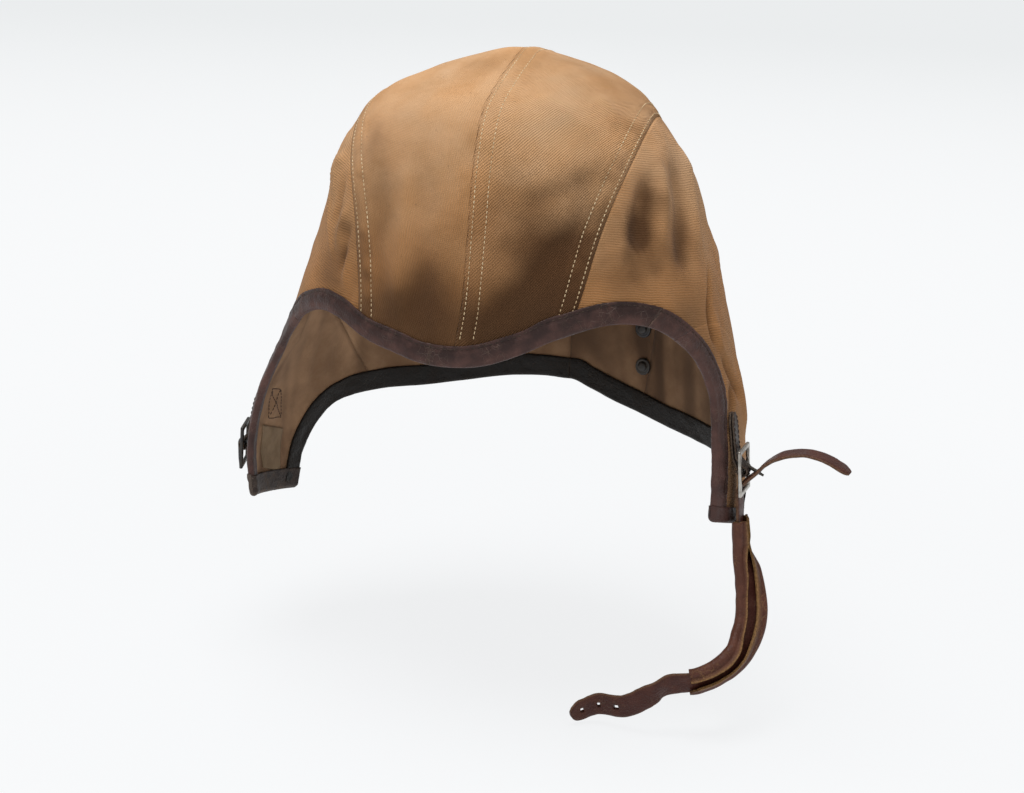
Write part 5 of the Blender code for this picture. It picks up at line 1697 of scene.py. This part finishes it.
def stud_mesh(name, node, radius, station):
    """One stud, turned from its profile, facing the head at its station down the pattern."""
    low, high = (Vector(corner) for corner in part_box(node))
    centre = np.array((low + high) / 2)
    across, back = math.sin(STUD_AZIMUTH) * station, -math.cos(STUD_AZIMUTH) * station
    square = -on_shell(across, back)[1]
    level = unit(np.cross(square, (0, 0, 1.0)))
    other = np.cross(square, level)
    turn = np.arange(STUD_SIDES) / STUD_SIDES * 2 * math.pi
    circle = level * np.cos(turn)[:, None] + other * np.sin(turn)[:, None]
    rings = [
        centre + square * STUD_TALL * (tall - 0.5) + circle * radius * max(reach, 0.02)
        for reach, tall in stud_profile
    ]
    made = solid_mesh(name, np.concatenate(rings), ring_faces(len(rings), STUD_SIDES))
    made.data.materials.append(BLACK_STEEL)
    return made


for label, radius, station in studs:
    stud = stud_mesh(f"press_stud_cap_{label}", f"press_stud_{label}", radius, station)
    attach(stud, "shell")
    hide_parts(f"press_stud_{label}")


# Camera, floor and light
# The camera stands a little to the wearer's left and above, and the helmet floats over a pale
# floor at the height of its strap.
def stand_in_view():
    """The camera, placed by its turn round the helmet and the pixel where its target falls."""
    yaw, pitch, roll = math.radians(14.5), math.radians(16), math.radians(2.5)
    focal, distance, width = 1700, 0.85, 1024
    target, across, down = Vector((0, 0, -0.1169)), 514 - 512, 396.5 - 291.5
    toward = Vector((
        math.sin(yaw) * math.cos(pitch), -math.cos(yaw) * math.cos(pitch), math.sin(pitch),
    ))
    level = Vector((math.cos(yaw), math.sin(yaw), 0))
    right = level * math.cos(roll) + toward.cross(level) * math.sin(roll)
    up = toward.cross(right)
    lens = bpy.data.cameras.new("camera")
    lens.sensor_width = 36
    lens.lens = focal / width * lens.sensor_width
    lens.clip_start, lens.clip_end = 0.05, 20
    camera = new_object("camera", lens)
    camera.matrix_world = Matrix.Translation(
        target + toward * distance - (right * across + up * down) / focal * distance,
    ) @ Matrix((right, up, toward)).transposed().to_4x4()
    bpy.context.scene.camera = camera


FLOOR_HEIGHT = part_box("chin_strap")[0][2] - 0.0015
BACKDROP = (0.83, 0.847, 0.855)


def pale_floor():
    """White paint that shows shadows near the helmet and fades into a plain backdrop."""
    made, tree, shader = new_material("pale_floor", 0.9, Specular_IOR_Level=0.05)
    shader.inputs["Base Color"].default_value = (0.84, 0.86, 0.88, 1)
    place = object_place(tree)
    distance = tree.nodes.new("ShaderNodeVectorMath")
    distance.operation = "LENGTH"
    tree.links.new(place, distance.inputs[0])
    far = ramp_node(tree, distance.outputs["Value"], 0.15, 0.6)
    far = math_node(tree, "MULTIPLY_ADD", far, 0.14, 0.86)
    backdrop = mixed(
        tree, ramp_node(tree, distance.outputs["Value"], 0.6, 5.5), (0.945, 0.955, 0.965), BACKDROP,
    )
    plain = tree.nodes.new("ShaderNodeEmission")
    tree.links.new(backdrop, plain.inputs["Color"])
    ray = tree.nodes.new("ShaderNodeLightPath")
    seen = math_node(tree, "MAXIMUM", ray.outputs["Is Camera Ray"], ray.outputs["Is Glossy Ray"])
    seen = math_node(tree, "MAXIMUM", seen, ray.outputs["Is Transmission Ray"])
    mix = tree.nodes.new("ShaderNodeMixShader")
    tree.links.new(times(tree, far, seen), mix.inputs[0])
    tree.links.new(shader.outputs[0], mix.inputs[1])
    tree.links.new(plain.outputs[0], mix.inputs[2])
    tree.links.new(mix.outputs[0], tree.nodes["Material Output"].inputs["Surface"])
    return made


def make_stage():
    """The floor, the studio's light from all round, and two soft lamps."""
    reach = 30.0
    mesh = bpy.data.meshes.new("floor")
    mesh.from_pydata(
        [(-reach, -reach, 0), (reach, -reach, 0), (reach, reach, 0), (-reach, reach, 0)], [],
        [(0, 1, 2, 3)],
    )
    floor = new_object("floor", mesh)
    floor.location.z = FLOOR_HEIGHT
    mesh.materials.append(pale_floor())
    world = bpy.data.worlds.new("studio")
    world.use_nodes = True
    tree = world.node_tree
    ray = tree.nodes.new("ShaderNodeLightPath")
    seen = math_node(tree, "MAXIMUM", ray.outputs["Is Camera Ray"], ray.outputs["Is Transmission Ray"])
    sky = tree.nodes["Background"]
    sky.inputs["Color"].default_value = (1.0, 0.985, 0.965, 1)
    sky.inputs["Strength"].default_value = 0.42
    shown = tree.nodes.new("ShaderNodeBackground")
    shown.inputs["Color"].default_value = (*BACKDROP, 1)
    mix = tree.nodes.new("ShaderNodeMixShader")
    tree.links.new(seen, mix.inputs[0])
    tree.links.new(sky.outputs[0], mix.inputs[1])
    tree.links.new(shown.outputs[0], mix.inputs[2])
    tree.links.new(mix.outputs[0], tree.nodes["World Output"].inputs["Surface"])
    bpy.context.scene.world = world
    for name, place, size, power in (
        ("top_light", (-0.15, -0.12, 1.1), 0.9, 15), ("front_light", (0.4, -1.6, 0.35), 1.2, 2.6),
    ):
        lamp = bpy.data.lights.new(name, "AREA")
        lamp.size, lamp.energy = size, power
        light = new_object(name, lamp)
        light.location = place
        aim = Vector((0, 0, -0.13)) - light.location
        light.rotation_euler = aim.to_track_quat("-Z", "Y").to_euler()


stand_in_view()
make_stage()
bpy.context.scene.view_settings.view_transform = "Standard"
